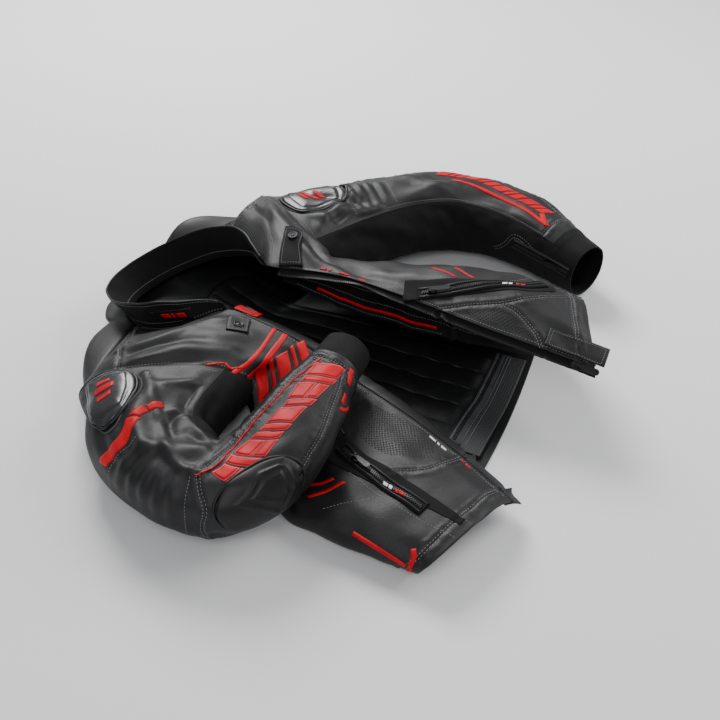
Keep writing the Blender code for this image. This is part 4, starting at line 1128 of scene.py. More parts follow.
def cloth(name, panel, low, high, outer, inner, seams=(), corners=None, beyond=None):
    """A thin wall on a panel, from lift low to lift high, with its edges turned in.

    Seams and the corners of a perforated field are stored for the finish. Beyond is a u and the
    material of the cloth past it.
    """
    rows, columns = panel.u.shape
    top = panel.points + panel.normals * high
    bottom = panel.points + panel.normals * low
    top[..., 2] = np.maximum(top[..., 2], 0.0)
    bottom[..., 2] = np.maximum(bottom[..., 2], 0.0)
    count = rows * columns
    upright = panel.outward > 0
    faces = [grid_faces(rows, columns, 0, not upright), grid_faces(rows, columns, count, upright)]
    ring = np.concatenate([
        np.arange(columns),
        np.arange(1, rows) * columns + columns - 1,
        (rows - 1) * columns + np.arange(columns - 2, -1, -1),
        np.arange(rows - 2, 0, -1) * columns,
    ])
    after = np.roll(ring, -1)
    rim = np.stack([ring, ring + count, after + count, after], -1)
    faces.append(rim if upright else rim[:, ::-1])
    points = np.concatenate([top.reshape(-1, 3), bottom.reshape(-1, 3)])
    uvs = np.concatenate([panel.metres.reshape(-1, 2)] * 2)
    outer_slots = np.zeros(len(faces[0]))
    materials = [outer, inner]
    if beyond:
        materials.append(beyond[1])
        outer_slots[(panel.u[:-1, :-1] > beyond[0]).ravel()] = 2
    slots = np.concatenate([outer_slots, np.ones(len(faces[1])), np.zeros(len(rim))])
    seam = nearest_seam(panel, seams)
    depth = field(panel, corners[0]) if corners else np.full(seam.shape, -0.05)
    for more in (corners or ())[1:]:
        depth = np.maximum(depth, field(panel, more))
    inside = np.full(seam.size, 0.05)
    marks = {
        "seam": np.concatenate([seam.ravel(), inside]),
        "field": np.concatenate([depth.ravel(), -inside]),
    }
    piece = add_piece(name, points, np.concatenate(faces), materials, uvs, slots, marks)
    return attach(piece, "jacket")


def sewn(piece, panel, nodes):
    """Hides the solids that a cloth piece stands for. It also works out how large the cut is, but keeps
    nothing of it.
    """
    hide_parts(*nodes)
    rows = float(panel.metres[-1, 0, 0] - panel.metres[0, 0, 0])
    columns = float((panel.metres[:, -1, 1] - panel.metres[:, 0, 1]).max())
    return piece


def strip_on(panel, start, end, width, end_width=None, rows=48, columns=14, lift=0.0):
    """A strip that lies on a panel from one u, v to another, as a panel of its own."""
    end_width = width if end_width is None else end_width

    def place(u, v):
        at_u = start[0] + (end[0] - start[0]) * u
        at_v = start[1] + (end[1] - start[1]) * u
        wide = width + (end_width - width) * u
        at_u, at_v = beside(panel, at_u, at_v, (end[0] - start[0], end[1] - start[1]), wide * (v - 0.5))
        return panel.at(at_u, at_v, np.full(at_u.shape, lift))

    us, vs = np.linspace(0, 1, rows), np.linspace(0, 1, columns)
    return Panel(place, panel.outward, us, vs, shifted=False)


def beside(panel, u, v, way, reach):
    """The u and v this many metres to the side of a line that runs this way in u and v."""
    down, across = panel.slopes(u, v)
    ahead = down * np.asarray(way[0])[..., None] + across * np.asarray(way[1])[..., None]
    side = np.cross(np.cross(down, across), ahead)
    side /= np.maximum(np.linalg.norm(side, axis=-1, keepdims=True), 1e-12)
    return panel.moved(u, v, side * np.asarray(reach)[..., None])


def stepped_line(panel, spots, pitch):
    """Places every so many metres along a line, with the way it runs there in u and v."""
    length = panel.length(spots)
    u, v = panel.line(spots, max(8, int(length / 0.002)))
    count = max(2, int(length / pitch))
    share = (np.arange(count) + 0.5) / count * (len(u) - 1)
    numbers = np.arange(len(u))
    way_u, way_v = np.gradient(u), np.gradient(v)
    return [np.interp(share, numbers, values) for values in (u, v, way_u, way_v)]


def frames_on(panel, u, v, way, lift):
    """Small frames on a panel: origins, and axes along, beside and out of the cloth."""
    down, across = panel.slopes(u, v)
    out = panel.normal(u, np.clip(v, panel.vs[0], panel.vs[-1]))
    ahead = down * np.asarray(way[0])[..., None] + across * np.asarray(way[1])[..., None]
    ahead -= out * (ahead * out).sum(-1, keepdims=True)
    ahead /= np.maximum(np.linalg.norm(ahead, axis=-1, keepdims=True), 1e-12)
    return panel.at(u, v, np.full(np.shape(u), lift)), ahead, np.cross(out, ahead), out


def ring_faces(rings, sides, closed=False):
    """The quads between rings of points, with the last ring joined to the first if closed."""
    faces = []
    for ring in range(rings if closed else rings - 1):
        low, high = ring * sides, (ring + 1) % rings * sides
        for turn in range(sides):
            after = (turn + 1) % sides
            faces.append((low + turn, low + after, high + after, high + turn))
    return faces


def scattered(name, template, frames, material, smooth=True):
    """Copies of a small template, points and faces, on each of these frames."""
    points, faces = template
    points = np.asarray(points, float)
    origin, ahead, aside, out = frames
    world = origin[:, None] + ahead[:, None] * points[:, 0, None] + aside[:, None] * points[:, 1, None]
    world = world + out[:, None] * points[:, 2, None]
    offsets = np.arange(len(origin)) * len(points)
    all_faces = [[index + offset for index in face] for offset in offsets for face in faces]
    piece = add_piece(name, world.reshape(-1, 3), all_faces, [material], smooth=smooth)
    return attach(piece, "jacket")


def stitch_shape(length, radius):
    """One stitch: a short thread, pointed at both ends and lying along x."""
    points, faces = [(-length / 2, 0, -radius)], []
    for x, wide in ((-length * 0.3, 0.9), (length * 0.3, 0.9)):
        for turn in range(5):
            angle = 2 * math.pi * turn / 5
            points.append((x, radius * wide * math.cos(angle), radius * wide * math.sin(angle)))
    points.append((length / 2, 0, -radius))
    for turn in range(5):
        after = (turn + 1) % 5
        faces.append((0, 1 + after, 1 + turn))
        faces.append((1 + turn, 1 + after, 6 + after, 6 + turn))
        faces.append((6 + turn, 6 + after, 11))
    return points, faces


def box_shape(long, wide, high):
    """A plain box that stands on the cloth, such as a zip tooth."""
    xs, ys = (-long / 2, long / 2), (-wide / 2, wide / 2)
    points = [(x, y, z) for x in xs for y in ys for z in (0.0, high)]
    faces = [(0, 1, 3, 2), (4, 6, 7, 5), (0, 4, 5, 1), (2, 3, 7, 6), (0, 2, 6, 4), (1, 5, 7, 3)]
    return points, faces


def stitched(name, panel, seams, material, lift, pitch=0.0042, spread=0.0024):
    """Rows of stitches along these seams. Two rows stand this far from the seam's line."""
    parts = []
    for seam in seams:
        for side in ((-spread, spread) if seam.rows == 2 else (0.0,)):
            u, v, way_u, way_v = stepped_line(panel, seam.spots, pitch)
            at_u, at_v = beside(panel, u, v, (way_u, way_v), np.full(u.shape, side))
            inside = (at_u > panel.us[0]) & (at_u < panel.us[-1])
            inside &= (at_v > panel.vs[0]) & (at_v < panel.vs[-1])
            way = (way_u[inside], way_v[inside])
            parts.append(frames_on(panel, at_u[inside], at_v[inside], way, lift))
    frames = [np.concatenate(axis) for axis in zip(*parts)]
    return scattered(name, stitch_shape(pitch * 0.74, 0.00045), frames, material)


def printed(name, panel, spots, parts, material, lift, thick=0.0005):
    """Flat raised pieces of print along a line.

    Each part is (from, to, side, to side, slant) in metres along and beside the line.
    """
    length = panel.length(spots)
    line_u, line_v = panel.line(spots, 200)
    run = np.linspace(0, length, 200)
    way_u, way_v = np.gradient(line_u), np.gradient(line_v)
    points, faces = [], []
    for start, end, low, high, slant in parts:
        rows = max(3, int(abs(end - start) / PRINT_PITCH) + 2)
        columns = max(3, int(abs(high - low) / PRINT_PITCH) + 2)
        s = np.concatenate([[start], np.linspace(start, end, rows), [end]])
        t = np.concatenate([[low], np.linspace(low, high, columns), [high]])
        grid_s, grid_t = np.meshgrid(s, t, indexing="ij")
        grid_s = grid_s + slant * grid_t
        top = np.full(grid_s.shape, lift + thick)
        top[0, :] = top[-1, :] = top[:, 0] = top[:, -1] = lift - math.copysign(PRINT_TUCK, thick)
        u, v = np.interp(grid_s, run, line_u), np.interp(grid_s, run, line_v)
        past = grid_s - np.clip(grid_s, 0, length)
        way = (np.interp(grid_s, run, way_u), np.interp(grid_s, run, way_v))
        u, v = u + past * way[0] * 199 / length, v + past * way[1] * 199 / length
        u, v = beside(panel, u, v, way, grid_t)
        patch = panel.at(u, v, top)
        faces += (grid_faces(*grid_s.shape, flip=panel.outward < 0) + len(points)).tolist()
        points += patch.reshape(-1, 3).tolist()
    piece = add_piece(name, points, faces, [material])
    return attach(piece, "jacket")


def slanted_quad(middle_v, middle_u, half_width, reach, slant):
    """The corners of a slanted bar that lies across a panel."""
    ends = ((middle_v - reach, -slant * reach), (middle_v + reach, slant * reach))
    (low_v, low_shift), (high_v, high_shift) = ends
    return [
        (middle_u - half_width + low_shift, low_v), (middle_u + half_width + low_shift, low_v),
        (middle_u + half_width + high_shift, high_v), (middle_u - half_width + high_shift, high_v),
    ]


def patches(name, panel, quads, material, lift, thick, count=9):
    """Raised patches of print between four u, v corners each."""
    share = np.concatenate([[0.0], np.linspace(0, 1, count), [1.0]])
    along_it, across_it = np.meshgrid(share, share, indexing="ij")
    top = np.full(along_it.shape, lift + thick)
    top[0, :] = top[-1, :] = top[:, 0] = top[:, -1] = lift - PRINT_TUCK
    points, faces = [], []
    for first, second, third, fourth in quads:
        spots = [
            (1 - across_it) * ((1 - along_it) * first[axis] + along_it * second[axis])
            + across_it * ((1 - along_it) * fourth[axis] + along_it * third[axis])
            for axis in (0, 1)
        ]
        faces += (grid_faces(*top.shape, flip=panel.outward < 0) + len(points)).tolist()
        points += panel.at(*spots, top).reshape(-1, 3).tolist()
    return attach(add_piece(name, points, faces, [material]), "jacket")


def tube_through(name, centres, radius, material, closed=False, sides=8):
    """A round bead through these points."""
    centres = np.asarray(centres, float)
    ahead = np.gradient(centres, axis=0)
    if closed:
        ahead = np.roll(centres, -1, axis=0) - np.roll(centres, 1, axis=0)
    ahead /= np.maximum(np.linalg.norm(ahead, axis=1, keepdims=True), 1e-12)
    up = np.cross(ahead, [0.31, 0.17, 0.93])
    up /= np.maximum(np.linalg.norm(up, axis=1, keepdims=True), 1e-12)
    side = np.cross(ahead, up)
    turns = 2 * math.pi * np.arange(sides) / sides
    ring = up[:, None] * np.cos(turns)[:, None] + side[:, None] * np.sin(turns)[:, None]
    points = (centres[:, None] + ring * radius).reshape(-1, 3)
    faces = ring_faces(len(centres), sides, closed)
    if not closed:
        faces.append(tuple(range(sides)))
        faces.append(tuple(range(len(points) - sides, len(points)))[::-1])
    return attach(add_piece(name, points, faces, [material]), "jacket")


def bead_on(name, panel, spots, radius, lift, material, count=90):
    """A round bead or piping that lies on a panel."""
    u, v = panel.line(spots, count)
    return tube_through(name, panel.at(u, v, np.full(u.shape, lift)), radius, material)


def zip_teeth(name, panel, spots, lift, material, aside=0.0011, pitch=0.0030):
    """Two rows of teeth that mesh along a line."""
    rows = []
    for shift, side in ((0.0, -aside), (0.5, aside)):
        u, v, way_u, way_v = stepped_line(panel, spots, pitch)
        u = u + shift * np.gradient(u)
        v = v + shift * np.gradient(v)
        at_u, at_v = beside(panel, u, v, (way_u, way_v), np.full(u.shape, side))
        rows.append(frames_on(panel, at_u, at_v, (way_u, way_v), lift))
    frames = [np.concatenate(axis) for axis in zip(*rows)]
    return scattered(name, box_shape(pitch * 0.42, aside * 2.6, 0.0013), frames, material, smooth=False)


def turned(name, panel, spot, profile, lift, material, sides=32):
    """A round button: a profile of (radius, height) turned about the cloth's outward axis."""
    u, v = np.array([spot[0]]), np.array([spot[1]])
    origin, ahead, aside, out = (axis[0] for axis in frames_on(panel, u, v, ([1.0], [0.0]), lift))
    points = []
    for radius, height in profile:
        for side in range(sides):
            turn = 2 * math.pi * side / sides
            reach = ahead * math.cos(turn) + aside * math.sin(turn)
            points.append(origin + reach * radius + out * height)
    faces = ring_faces(len(profile), sides)
    faces.append(tuple(range(sides))[::-1])
    faces.append(tuple(range(len(points) - sides, len(points))))
    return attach(add_piece(name, points, faces, [material]), "jacket")


def cup_spots(panel, centre, radii, a, b):
    """The u and v of spots on a rounded square about a centre. Radii are in metres."""
    down, across = panel.read(panel.down, *centre), panel.read(panel.across, *centre)
    down, across = down / np.linalg.norm(down), across / np.linalg.norm(across)
    x = a * np.sqrt(1 - 0.42 * b * b) * radii[0]
    y = b * np.sqrt(1 - 0.42 * a * a) * radii[1]
    direction = x[..., None] * down + y[..., None] * across
    return panel.moved(np.full(a.shape, centre[0]), np.full(a.shape, centre[1]), direction)


def cup_panel(panel, centre, radii, lift, edge, dome, framed=False, count=56):
    """The outside of a domed cup that stands on a panel, as a panel from -1 to 1."""

    def place(a, b):
        u, v = cup_spots(panel, centre, radii, a, b)
        reach = np.maximum(np.abs(a), np.abs(b))
        height = edge + dome * np.maximum(1 - reach**2, 0) ** 0.6
        if framed:
            angled = np.maximum(reach, 0.78 * (np.abs(a - 0.25) + np.abs(b + 0.1)))
            for rim, high in ((0.42, 0.0014), (0.66, 0.0017)):
                height += high * np.exp(-(((angled - rim) / 0.05) ** 2))
            return panel.at(u, v, lift + height)
        step = np.clip((0.74 - reach) / 0.03, 0, 1)
        height += 0.0010 * step * step * (3 - 2 * step)
        height -= 0.0009 * np.exp(-(((reach - 0.80) / 0.025) ** 2))
        return panel.at(u, v, lift + height)

    numbers = np.linspace(-1, 1, count)
    return Panel(place, panel.outward, numbers, numbers, shifted=False)


def ring_spots(reach, count=80):
    """Spots round a cup at this share of its way out, for a closed line."""
    turns = np.linspace(0, 2 * math.pi, count, endpoint=False)
    x, y = np.cos(turns), np.sin(turns)
    out = reach / np.maximum(np.abs(x), np.abs(y))
    return x * out, y * out


def strip_piece(name, strip, thick, material, node):
    """A thin trim that lies on the cloth and stands for its solid."""
    piece = cloth(name, strip, 0.0, thick, material, material)
    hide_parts(node)
    return piece


def metal_node(name):
    """A slider or pull keeps its solid, with a finish and softened edges."""
    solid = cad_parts[name]
    solid.data.materials.clear()
    solid.data.materials.append(dark_metal())
    bevel = solid.modifiers.new("soft edges", "BEVEL")
    bevel.width = 0.00028
    bevel.segments = 2
    bevel.limit_method = "ANGLE"


class JacketColours(bpy.types.PropertyGroup):
    leather: bpy.props.FloatVectorProperty(
        name="Leather", description="Colour of the black leather", subtype="COLOR",
        default=(0.0055, 0.0055, 0.0062), min=0, max=1,
    )
    stretch: bpy.props.FloatVectorProperty(
        name="Stretch Cloth", description="Colour of the under sleeves, cuffs and collar",
        subtype="COLOR", default=(0.0035, 0.0035, 0.0040), min=0, max=1,
    )
    lining: bpy.props.FloatVectorProperty(
        name="Lining", description="Colour of the quilted lining", subtype="COLOR",
        default=(0.0055, 0.0058, 0.0065), min=0, max=1,
    )
    cup: bpy.props.FloatVectorProperty(
        name="Cups", description="Colour of the moulded shoulder cups", subtype="COLOR",
        default=(0.022, 0.022, 0.024), min=0, max=1,
    )
    red: bpy.props.FloatVectorProperty(
        name="Red", description="Colour of the red prints and trims", subtype="COLOR",
        default=(0.46, 0.0035, 0.0100), min=0, max=1,
    )
    pale_red: bpy.props.FloatVectorProperty(
        name="Pale Red", description="Colour of the lighter edges of the prints", subtype="COLOR",
        default=(0.66, 0.075, 0.090), min=0, max=1,
    )
    white: bpy.props.FloatVectorProperty(
        name="White", description="Colour of the small plain labels", subtype="COLOR",
        default=(0.75, 0.75, 0.75), min=0, max=1,
    )
    tape: bpy.props.FloatVectorProperty(
        name="Waist Tape", description="Colour of the waist zip's tape", subtype="COLOR",
        default=(0.036, 0.037, 0.040), min=0, max=1,
    )
    thread: bpy.props.FloatVectorProperty(
        name="Thread", description="Colour of the stitching", subtype="COLOR",
        default=(0.20, 0.20, 0.21), min=0, max=1,
    )
    zip_black: bpy.props.FloatVectorProperty(
        name="Zip Teeth", description="Colour of the zip teeth and snap rims", subtype="COLOR",
        default=(0.018, 0.018, 0.020), min=0, max=1,
    )
    metal: bpy.props.FloatVectorProperty(
        name="Metal", description="Colour of the sliders, pulls and snaps", subtype="COLOR",
        default=(0.030, 0.030, 0.032), min=0, max=1,
    )
    floor: bpy.props.FloatVectorProperty(
        name="Floor", description="Colour of the pale studio floor", subtype="COLOR",
        default=(0.74, 0.74, 0.75), min=0, max=1,
    )


class JacketSizes(bpy.types.PropertyGroup):
    stitch_pitch: bpy.props.FloatProperty(
        name="Stitch Pitch", description="Length of one stitch with its gap", unit="LENGTH",
        default=0.0042, min=0.002, max=0.01,
    )
    stitch_rows: bpy.props.FloatProperty(
        name="Row Spread", description="How far each row stands from its seam", unit="LENGTH",
        default=0.0024, min=0.001, max=0.006,
    )
    print_thickness: bpy.props.FloatProperty(
        name="Print Thickness", description="How far the prints stand off the leather",
        unit="LENGTH", default=0.0006, min=0.0001, max=0.002,
    )


class JACKET_OT_back(bpy.types.Operator):
    """Sew the back with its quilted lining, waist zip and mesh strip"""

    bl_idname = "jacket.back"
    bl_label = "Back"

    def execute(self, context):
        quilt = lining()
        inner = cloth("quilted_lining", quilt, *QUILT_LIFTS, lining_cloth(), lining_cloth())
        lift = INSIDE_QUILT - 0.0009
        tape = strip_on(back(), (0.912, 0.46), (0.912, 0.90), 0.022, rows=90, lift=lift)
        zip_tape = strip_piece("waist_zip_tape", tape, 0.0006, grey_tape(), "waist_zip")
        lift = INSIDE_QUILT - 0.0006
        net = strip_on(back(), (0.952, 0.44), (0.952, 0.90), 0.030, rows=90, lift=lift)
        strip = cloth("mesh_strip", net, -0.0005, 0.0005, mesh_cloth(), mesh_cloth())
        line = [(0.905, 0.47), (0.905, 0.70), (0.905, 0.895)]
        teeth = zip_teeth("waist_zip_teeth", back(), line, INSIDE_QUILT - 0.0022, black_zip())
        rows = [Seam([(u, 0.47), (u, 0.70), (u, 0.895)], 1) for u in (0.897, 0.925, 0.936)]
        seams = stitched("waist_stitches", back(), rows, thread(), INSIDE_QUILT - 0.0011)
        sewn(inner, quilt, ["back_lining"])
        piece = cloth("back_panel", back(), -HALF, HALF, leather(), lining_cloth())
        sewn(piece, back(), ["back"])
        return {"FINISHED"}


class JACKET_OT_fronts(bpy.types.Operator):
    """Sew the two fronts"""

    bl_idname = "jacket.fronts"
    bl_label = "Fronts"

    def execute(self, context):
        cuts = (
            ("right", right_front(), RIGHT_FRONT_SEAMS, [RIGHT_FRONT_FIELD]),
            ("left", left_front(), LEFT_FRONT_SEAMS, [LEFT_FRONT_FIELD, LEFT_YOKE_FIELD]),
        )
        for side, panel, seams, fields in cuts:
            name = f"{side}_front_panel"
            piece = cloth(name, panel, -HALF, HALF, leather(), lining_cloth(), seams, fields)
            sewn(piece, panel, [f"{side}_front"])
        return {"FINISHED"}


class JACKET_OT_sleeves(bpy.types.Operator):
    """Sew the sleeves with their stretch under sides and cuffs"""

    bl_idname = "jacket.sleeves"
    bl_label = "Sleeves"

    def execute(self, context):
        right = (right_sleeve(), right_under_sleeve(), right_cuff(), RIGHT_SLEEVE_SEAMS, None)
        cuff_cloth = (0.868, stretch_cloth())
        left = (left_sleeve(), left_under_sleeve(), left_cuff(), LEFT_SLEEVE_SEAMS, cuff_cloth)
        for side, (outer, under, end, seams, beyond) in (("right", right), ("left", left)):
            piece = cloth(f"{side}_sleeve_panel", outer, -HALF, HALF, leather(), lining_cloth(),
                          seams, beyond=beyond)
            sewn(piece, outer, [f"{side}_sleeve"])
            soft, inner = stretch_cloth(), lining_cloth()
            piece = cloth(f"{side}_under_panel", under, -THIN, THIN, soft, inner)
            sewn(piece, under, [f"{side}_under_sleeve"])
            piece = cloth(f"{side}_cuff_end", end, -THIN, THIN, soft, inner)
            sewn(piece, end, [f"{side}_cuff"])
        return {"FINISHED"}


class JACKET_OT_collar(bpy.types.Operator):
    """Sew the collar band with its bound edge"""

    bl_idname = "jacket.collar"
    bl_label = "Collar"

    def execute(self, context):
        band = collar()
        low, high = COLLAR_LIFTS
        piece = cloth("collar_band", band, low, high, stretch_cloth(), stretch_cloth())
        edge = [(0.01, 0.985), (0.25, 0.985), (0.5, 0.985), (0.75, 0.985), (0.99, 0.985)]
        bead = bead_on("collar_binding", band, edge, 0.0017, -0.0024, plain_leather(), 160)
        rows = [Seam([(0.01, v), (0.25, v), (0.5, v), (0.75, v), (0.99, v)], 1) for v in (0.20, 0.90)]
        outside = stitched("collar_stitches", band, rows, thread(), high)
        badge = strip_on(band, (0.075, 0.42), (0.172, 0.50), 0.019, 0.016, rows=30, lift=high - 0.0004)
        patch = cloth("collar_patch", badge, 0.0, 0.0012, plain_leather(), plain_leather())
        marks = [(0.008, 0.020, -0.0036, 0.0036, 0.5), (0.023, 0.027, -0.0036, 0.0036, 0.5),
                 (0.030, 0.042, -0.0036, 0.0036, 0.5)]
        middle = [(0.02, 0.5), (0.5, 0.5), (0.98, 0.5)]
        printed("collar_patch_bars", badge, middle, marks, red_ink(), 0.0012)
        inside = stitched("collar_inner_stitches", band, rows[:1], thread(), low - 0.0004)
        sewn(piece, band, ["collar"])
        return {"FINISHED"}


class JACKET_OT_front_edges(bpy.types.Operator):
    """Sew the wind flap, the zip tapes with their teeth, and the facing"""

    bl_idname = "jacket.front_edges"
    bl_label = "Front Edges"

    def execute(self, context):
        flap = right_flap()
        piece = cloth("wind_flap", flap, *FLAP_LIFTS, leather(), lining_cloth())
        sewn(piece, flap, ["right_flap"])
        for side, tape in (("right", right_tape()), ("left", left_tape())):
            piece = cloth(f"{side}_front_tape", tape, *TAPE_LIFTS, stretch_cloth(), stretch_cloth())
            u, v, way_u, way_v = stepped_line(tape, [(0.02, 0.93), (0.5, 0.93), (0.985, 0.93)], 0.0030)
            frames = frames_on(tape, u, v, (way_u, way_v), TAPE_LIFTS[0] - 0.0002)
            shape = box_shape(0.0014, 0.0030, 0.0020)
            teeth = scattered(f"{side}_front_teeth", shape, frames, black_zip(), smooth=False)
            sewn(piece, tape, [f"{side}_zip_tape"])
        hanging = facing()
        piece = cloth("left_facing_panel", hanging, -LINING / 2, LINING / 2, leather(), leather())
        spots = [(0.150, 0.74), (0.364, 0.77), (0.578, 0.78)]
        cuts = [(0.0, hanging.length(spots), -0.0020, 0.0020, 0.0)]
        piping = printed("facing_red_piping", hanging, spots, cuts, red_ink(), -LINING / 2, -0.0018)
        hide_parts("facing_piping")
        rows = [
            Seam([(0.10, 0.52), (0.40, 0.56), (0.75, 0.62)], 1),
            Seam([(0.06, 0.88), (0.30, 0.90), (0.60, 0.92)], 1),
            Seam([(0.02, 0.20), (0.40, 0.20), (0.97, 0.24)], 1),
        ]
        seams = stitched("facing_stitches", hanging, rows, thread(), -LINING / 2)
        sewn(piece, hanging, ["left_facing"])
        edge = [(0.436, 0.075), (0.505, 0.070), (0.600, 0.040)]
        dashes = [(0.000, 0.009), (0.013, 0.017), (0.030, 0.044), (0.058, 0.070)]
        dashes = [(start, end, -0.0019, 0.0019, 0.3) for start, end in dashes]
        printed("zip_edge_dashes", left_front(), edge, dashes, red_ink(), HALF)
        return {"FINISHED"}


class JACKET_OT_cups(bpy.types.Operator):
    """Mould the shoulder cups and the ridged elbow cup"""

    bl_idname = "jacket.cups"
    bl_label = "Cups"

    def execute(self, context):
        shoulders = (
            ("right", right_sleeve(), (0.110, 128 / 360), 1),
            ("left", left_sleeve(), (0.105, 97 / 360), -1),
        )
        for side, sleeve, centre, mirror in shoulders:
            radii = (0.050, 0.033)
            shell = cup_panel(sleeve, centre, radii, ON_CLOTH, 0.002, 0.0055)
            piece = cloth(f"{side}_shoulder_shell", shell, -0.0019, 0.0, cup_rubber(), cup_rubber())
            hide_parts(f"{side}_shoulder_cup")
            bars = [(-0.34, 0.07, 0.24), (-0.06, 0.09, 0.38), (0.24, 0.07, 0.30)]
            quads = [slanted_quad(0.0, middle, half, reach, 0.30 * mirror) for middle, half, reach in bars]
            patches(f"{side}_cup_bars", shell, quads, red_ink(), 0.0, 0.0009)
            u, v = cup_spots(sleeve, centre, radii, *ring_spots(1.05))
            points = sleeve.at(u, v, np.full(u.shape, HALF + 0.0014))
            tube_through(f"{side}_cup_piping", points, 0.0024, plain_leather(), closed=True)
            u, v = cup_spots(sleeve, centre, radii, *ring_spots(1.19))
            points = sleeve.at(u, v, np.full(u.shape, HALF + 0.0002))
            tube_through(f"{side}_cup_outline", points, 0.0014, grey_tape(), closed=True)
        centre, radii = (0.540, 0.435), (0.056, 0.032)
        shell = cup_panel(right_sleeve(), centre, radii, HALF + 0.0014, 0.002, 0.004, framed=True)
        piece = cloth("right_elbow_shell", shell, -0.0019, 0.0, plain_leather(), plain_leather())
        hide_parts("right_elbow_cup")
        u, v = cup_spots(right_sleeve(), centre, radii, *ring_spots(1.06))
        points = right_sleeve().at(u, v, np.full(u.shape, HALF + 0.0012))
        tube_through("right_elbow_piping", points, 0.0020, plain_leather(), closed=True)
        return {"FINISHED"}


class JACKET_OT_tabs(bpy.types.Operator):
    """Sew the collar tab, the snap patch, the snaps, the flap's tab and the hem tab"""

    bl_idname = "jacket.tabs"
    bl_label = "Tabs And Snaps"

    def execute(self, context):
        left, right = left_front(), right_front()
        lift = ON_CLOTH - 0.0006
        collar_tab = strip_on(left, (0.345, 0.03), (0.325, 0.66), 0.034, 0.025, lift=lift)
        strip_piece("collar_tab_cloth", collar_tab, 0.0030, stretch_cloth(), "collar_tab")
        patch = strip_on(right, (0.325, 0.10), (0.352, 0.36), 0.030, lift=lift)
        strip_piece("snap_patch_leather", patch, 0.0020, leather(), "snap_patch")
        hem = strip_on(left, (0.925, 0.072), (1.022, 0.072), 0.026, lift=ON_CLOTH)
        strip_piece("hem_tab_leather", hem, 0.0020, leather(), "hem_tab")
        fan = strip_on(right_flap(), (-0.030, 0.52), (-0.036, 1.15), 0.036, lift=-HALF - 0.0017)
        strip_piece("flap_red_tab", fan, 0.0012, red_ink(), "flap_tab")
        for tab, name in ((collar_tab, "collar_tab"), (patch, "snap_patch"), (hem, "hem_tab")):
            border = [(0.06, 0.10), (0.06, 0.90), (0.94, 0.90), (0.94, 0.10), (0.06, 0.10)]
            sides = [Seam([border[n], border[n + 1]], 1) for n in range(4)]
            lift = 0.0030 if name == "collar_tab" else 0.0020
            stitched(f"{name}_stitches", tab, sides, thread(), lift, 0.0034)
        lines = [(0.004 + 0.009 * n, 0.0060 + 0.009 * n, -0.012, 0.012, 0.3) for n in range(3)]
        middle = [(0.1, 0.5), (0.5, 0.5), (0.9, 0.5)]
        printed("flap_tab_lines", fan, middle, lines, black_zip(), 0.0012, 0.0004)
        rim = [(0.0078, 0.0), (0.0078, 0.0012), (0.0068, 0.0020), (0.0052, 0.0020), (0.0046, 0.0012),
               (0.0030, 0.0010), (0.0024, 0.0018), (0.0010, 0.0021)]
        for name, panel, spot, lift in (
            ("collar_tab_snap", left, (0.333, 0.475), ON_CLOTH + 0.0024),
            ("right_snap", right, (0.339, 0.237), ON_CLOTH + 0.0014),
        ):
            piece = turned(f"{name}_ring", panel, spot, rim, lift, dark_metal())
            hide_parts(name)
        return {"FINISHED"}


class JACKET_OT_pockets(bpy.types.Operator):
    """Set the pocket and cuff zips with their welts, teeth, sliders and labels"""

    bl_idname = "jacket.pockets"
    bl_label = "Pockets And Cuff Zip"

    def execute(self, context):
        cuff_us, cuff_vs = np.linspace(0.70, 1.0, 60), np.linspace(-0.03, 0.10, 24)
        cuff_line = Panel(left_sleeve_place, 1, cuff_us, cuff_vs)
        channels = (
            ("right", right_front(), (0.712, 0.398), (0.985, 0.352), 0.046, 0.010),
            ("left", left_front(), (0.640, 0.055), (0.945, 0.440), 0.036, 0.022),
        )
        for side, panel, start, end, width, end_width in channels:
            strip = strip_on(panel, start, end, width, end_width, rows=90, lift=HALF - 0.0002)
            name = f"{side}_pocket_channel"
            channel = cloth(name, strip, 0.0, 0.0008, stretch_cloth(), stretch_cloth())
        zips = (
            ("right_pocket_welt", right_front(), (0.735, 0.370), (0.925, 0.412), 0.020, ON_CLOTH),
            ("left_pocket_welt", left_front(), (0.670, 0.060), (0.930, 0.455), 0.020, ON_CLOTH),
            ("left_cuff_welt", cuff_line, (0.72, 0.034), (0.985, 0.034), 0.016, THIN + 0.0006),
        )
        for node, panel, start, end, width, lift in zips:
            strip = strip_on(panel, start, end, width, rows=90, lift=lift - 0.0004)
            strip_piece(f"{node}_cloth", strip, 0.0014, stretch_cloth(), node)
            middle = [(0.03, 0.5), (0.5, 0.5), (0.97, 0.5)]
            zip_teeth(f"{node}_teeth", strip, middle, 0.0014, black_zip())
            for number, v in enumerate((0.16, 0.84)):
                line = [(0.01, v), (0.5, v), (0.99, v)]
                bead_on(f"{node}_lip_{number}", strip, line, 0.0016, 0.0012, plain_leather())
        for name in ("left_pocket", "right_pocket", "left_cuff", "main_zip"):
            metal_node(f"{name}_slider")
            metal_node(f"{name}_pull")
        labels = (
            ("right", right_front(), [(0.842, 0.402), (0.870, 0.406), (0.905, 0.411)]),
            ("left", left_front(), [(0.842, 0.305), (0.872, 0.352), (0.905, 0.400)]),
        )
        lift = ON_CLOTH + 0.0022
        for side, panel, spots in labels:
            white = [(0.000, 0.007, -0.0020, 0.0020, 0.4), (0.009, 0.014, -0.0028, 0.0020, 0.4)]
            red = [(0.019, 0.024, -0.0026, 0.0026, 0.4), (0.026, 0.033, -0.0026, 0.0018, 0.4)]
            printed(f"{side}_white_label", panel, spots, white, white_ink(), lift, 0.0004)
            printed(f"{side}_red_label", panel, spots, red, red_ink(), lift, 0.0004)
        return {"FINISHED"}


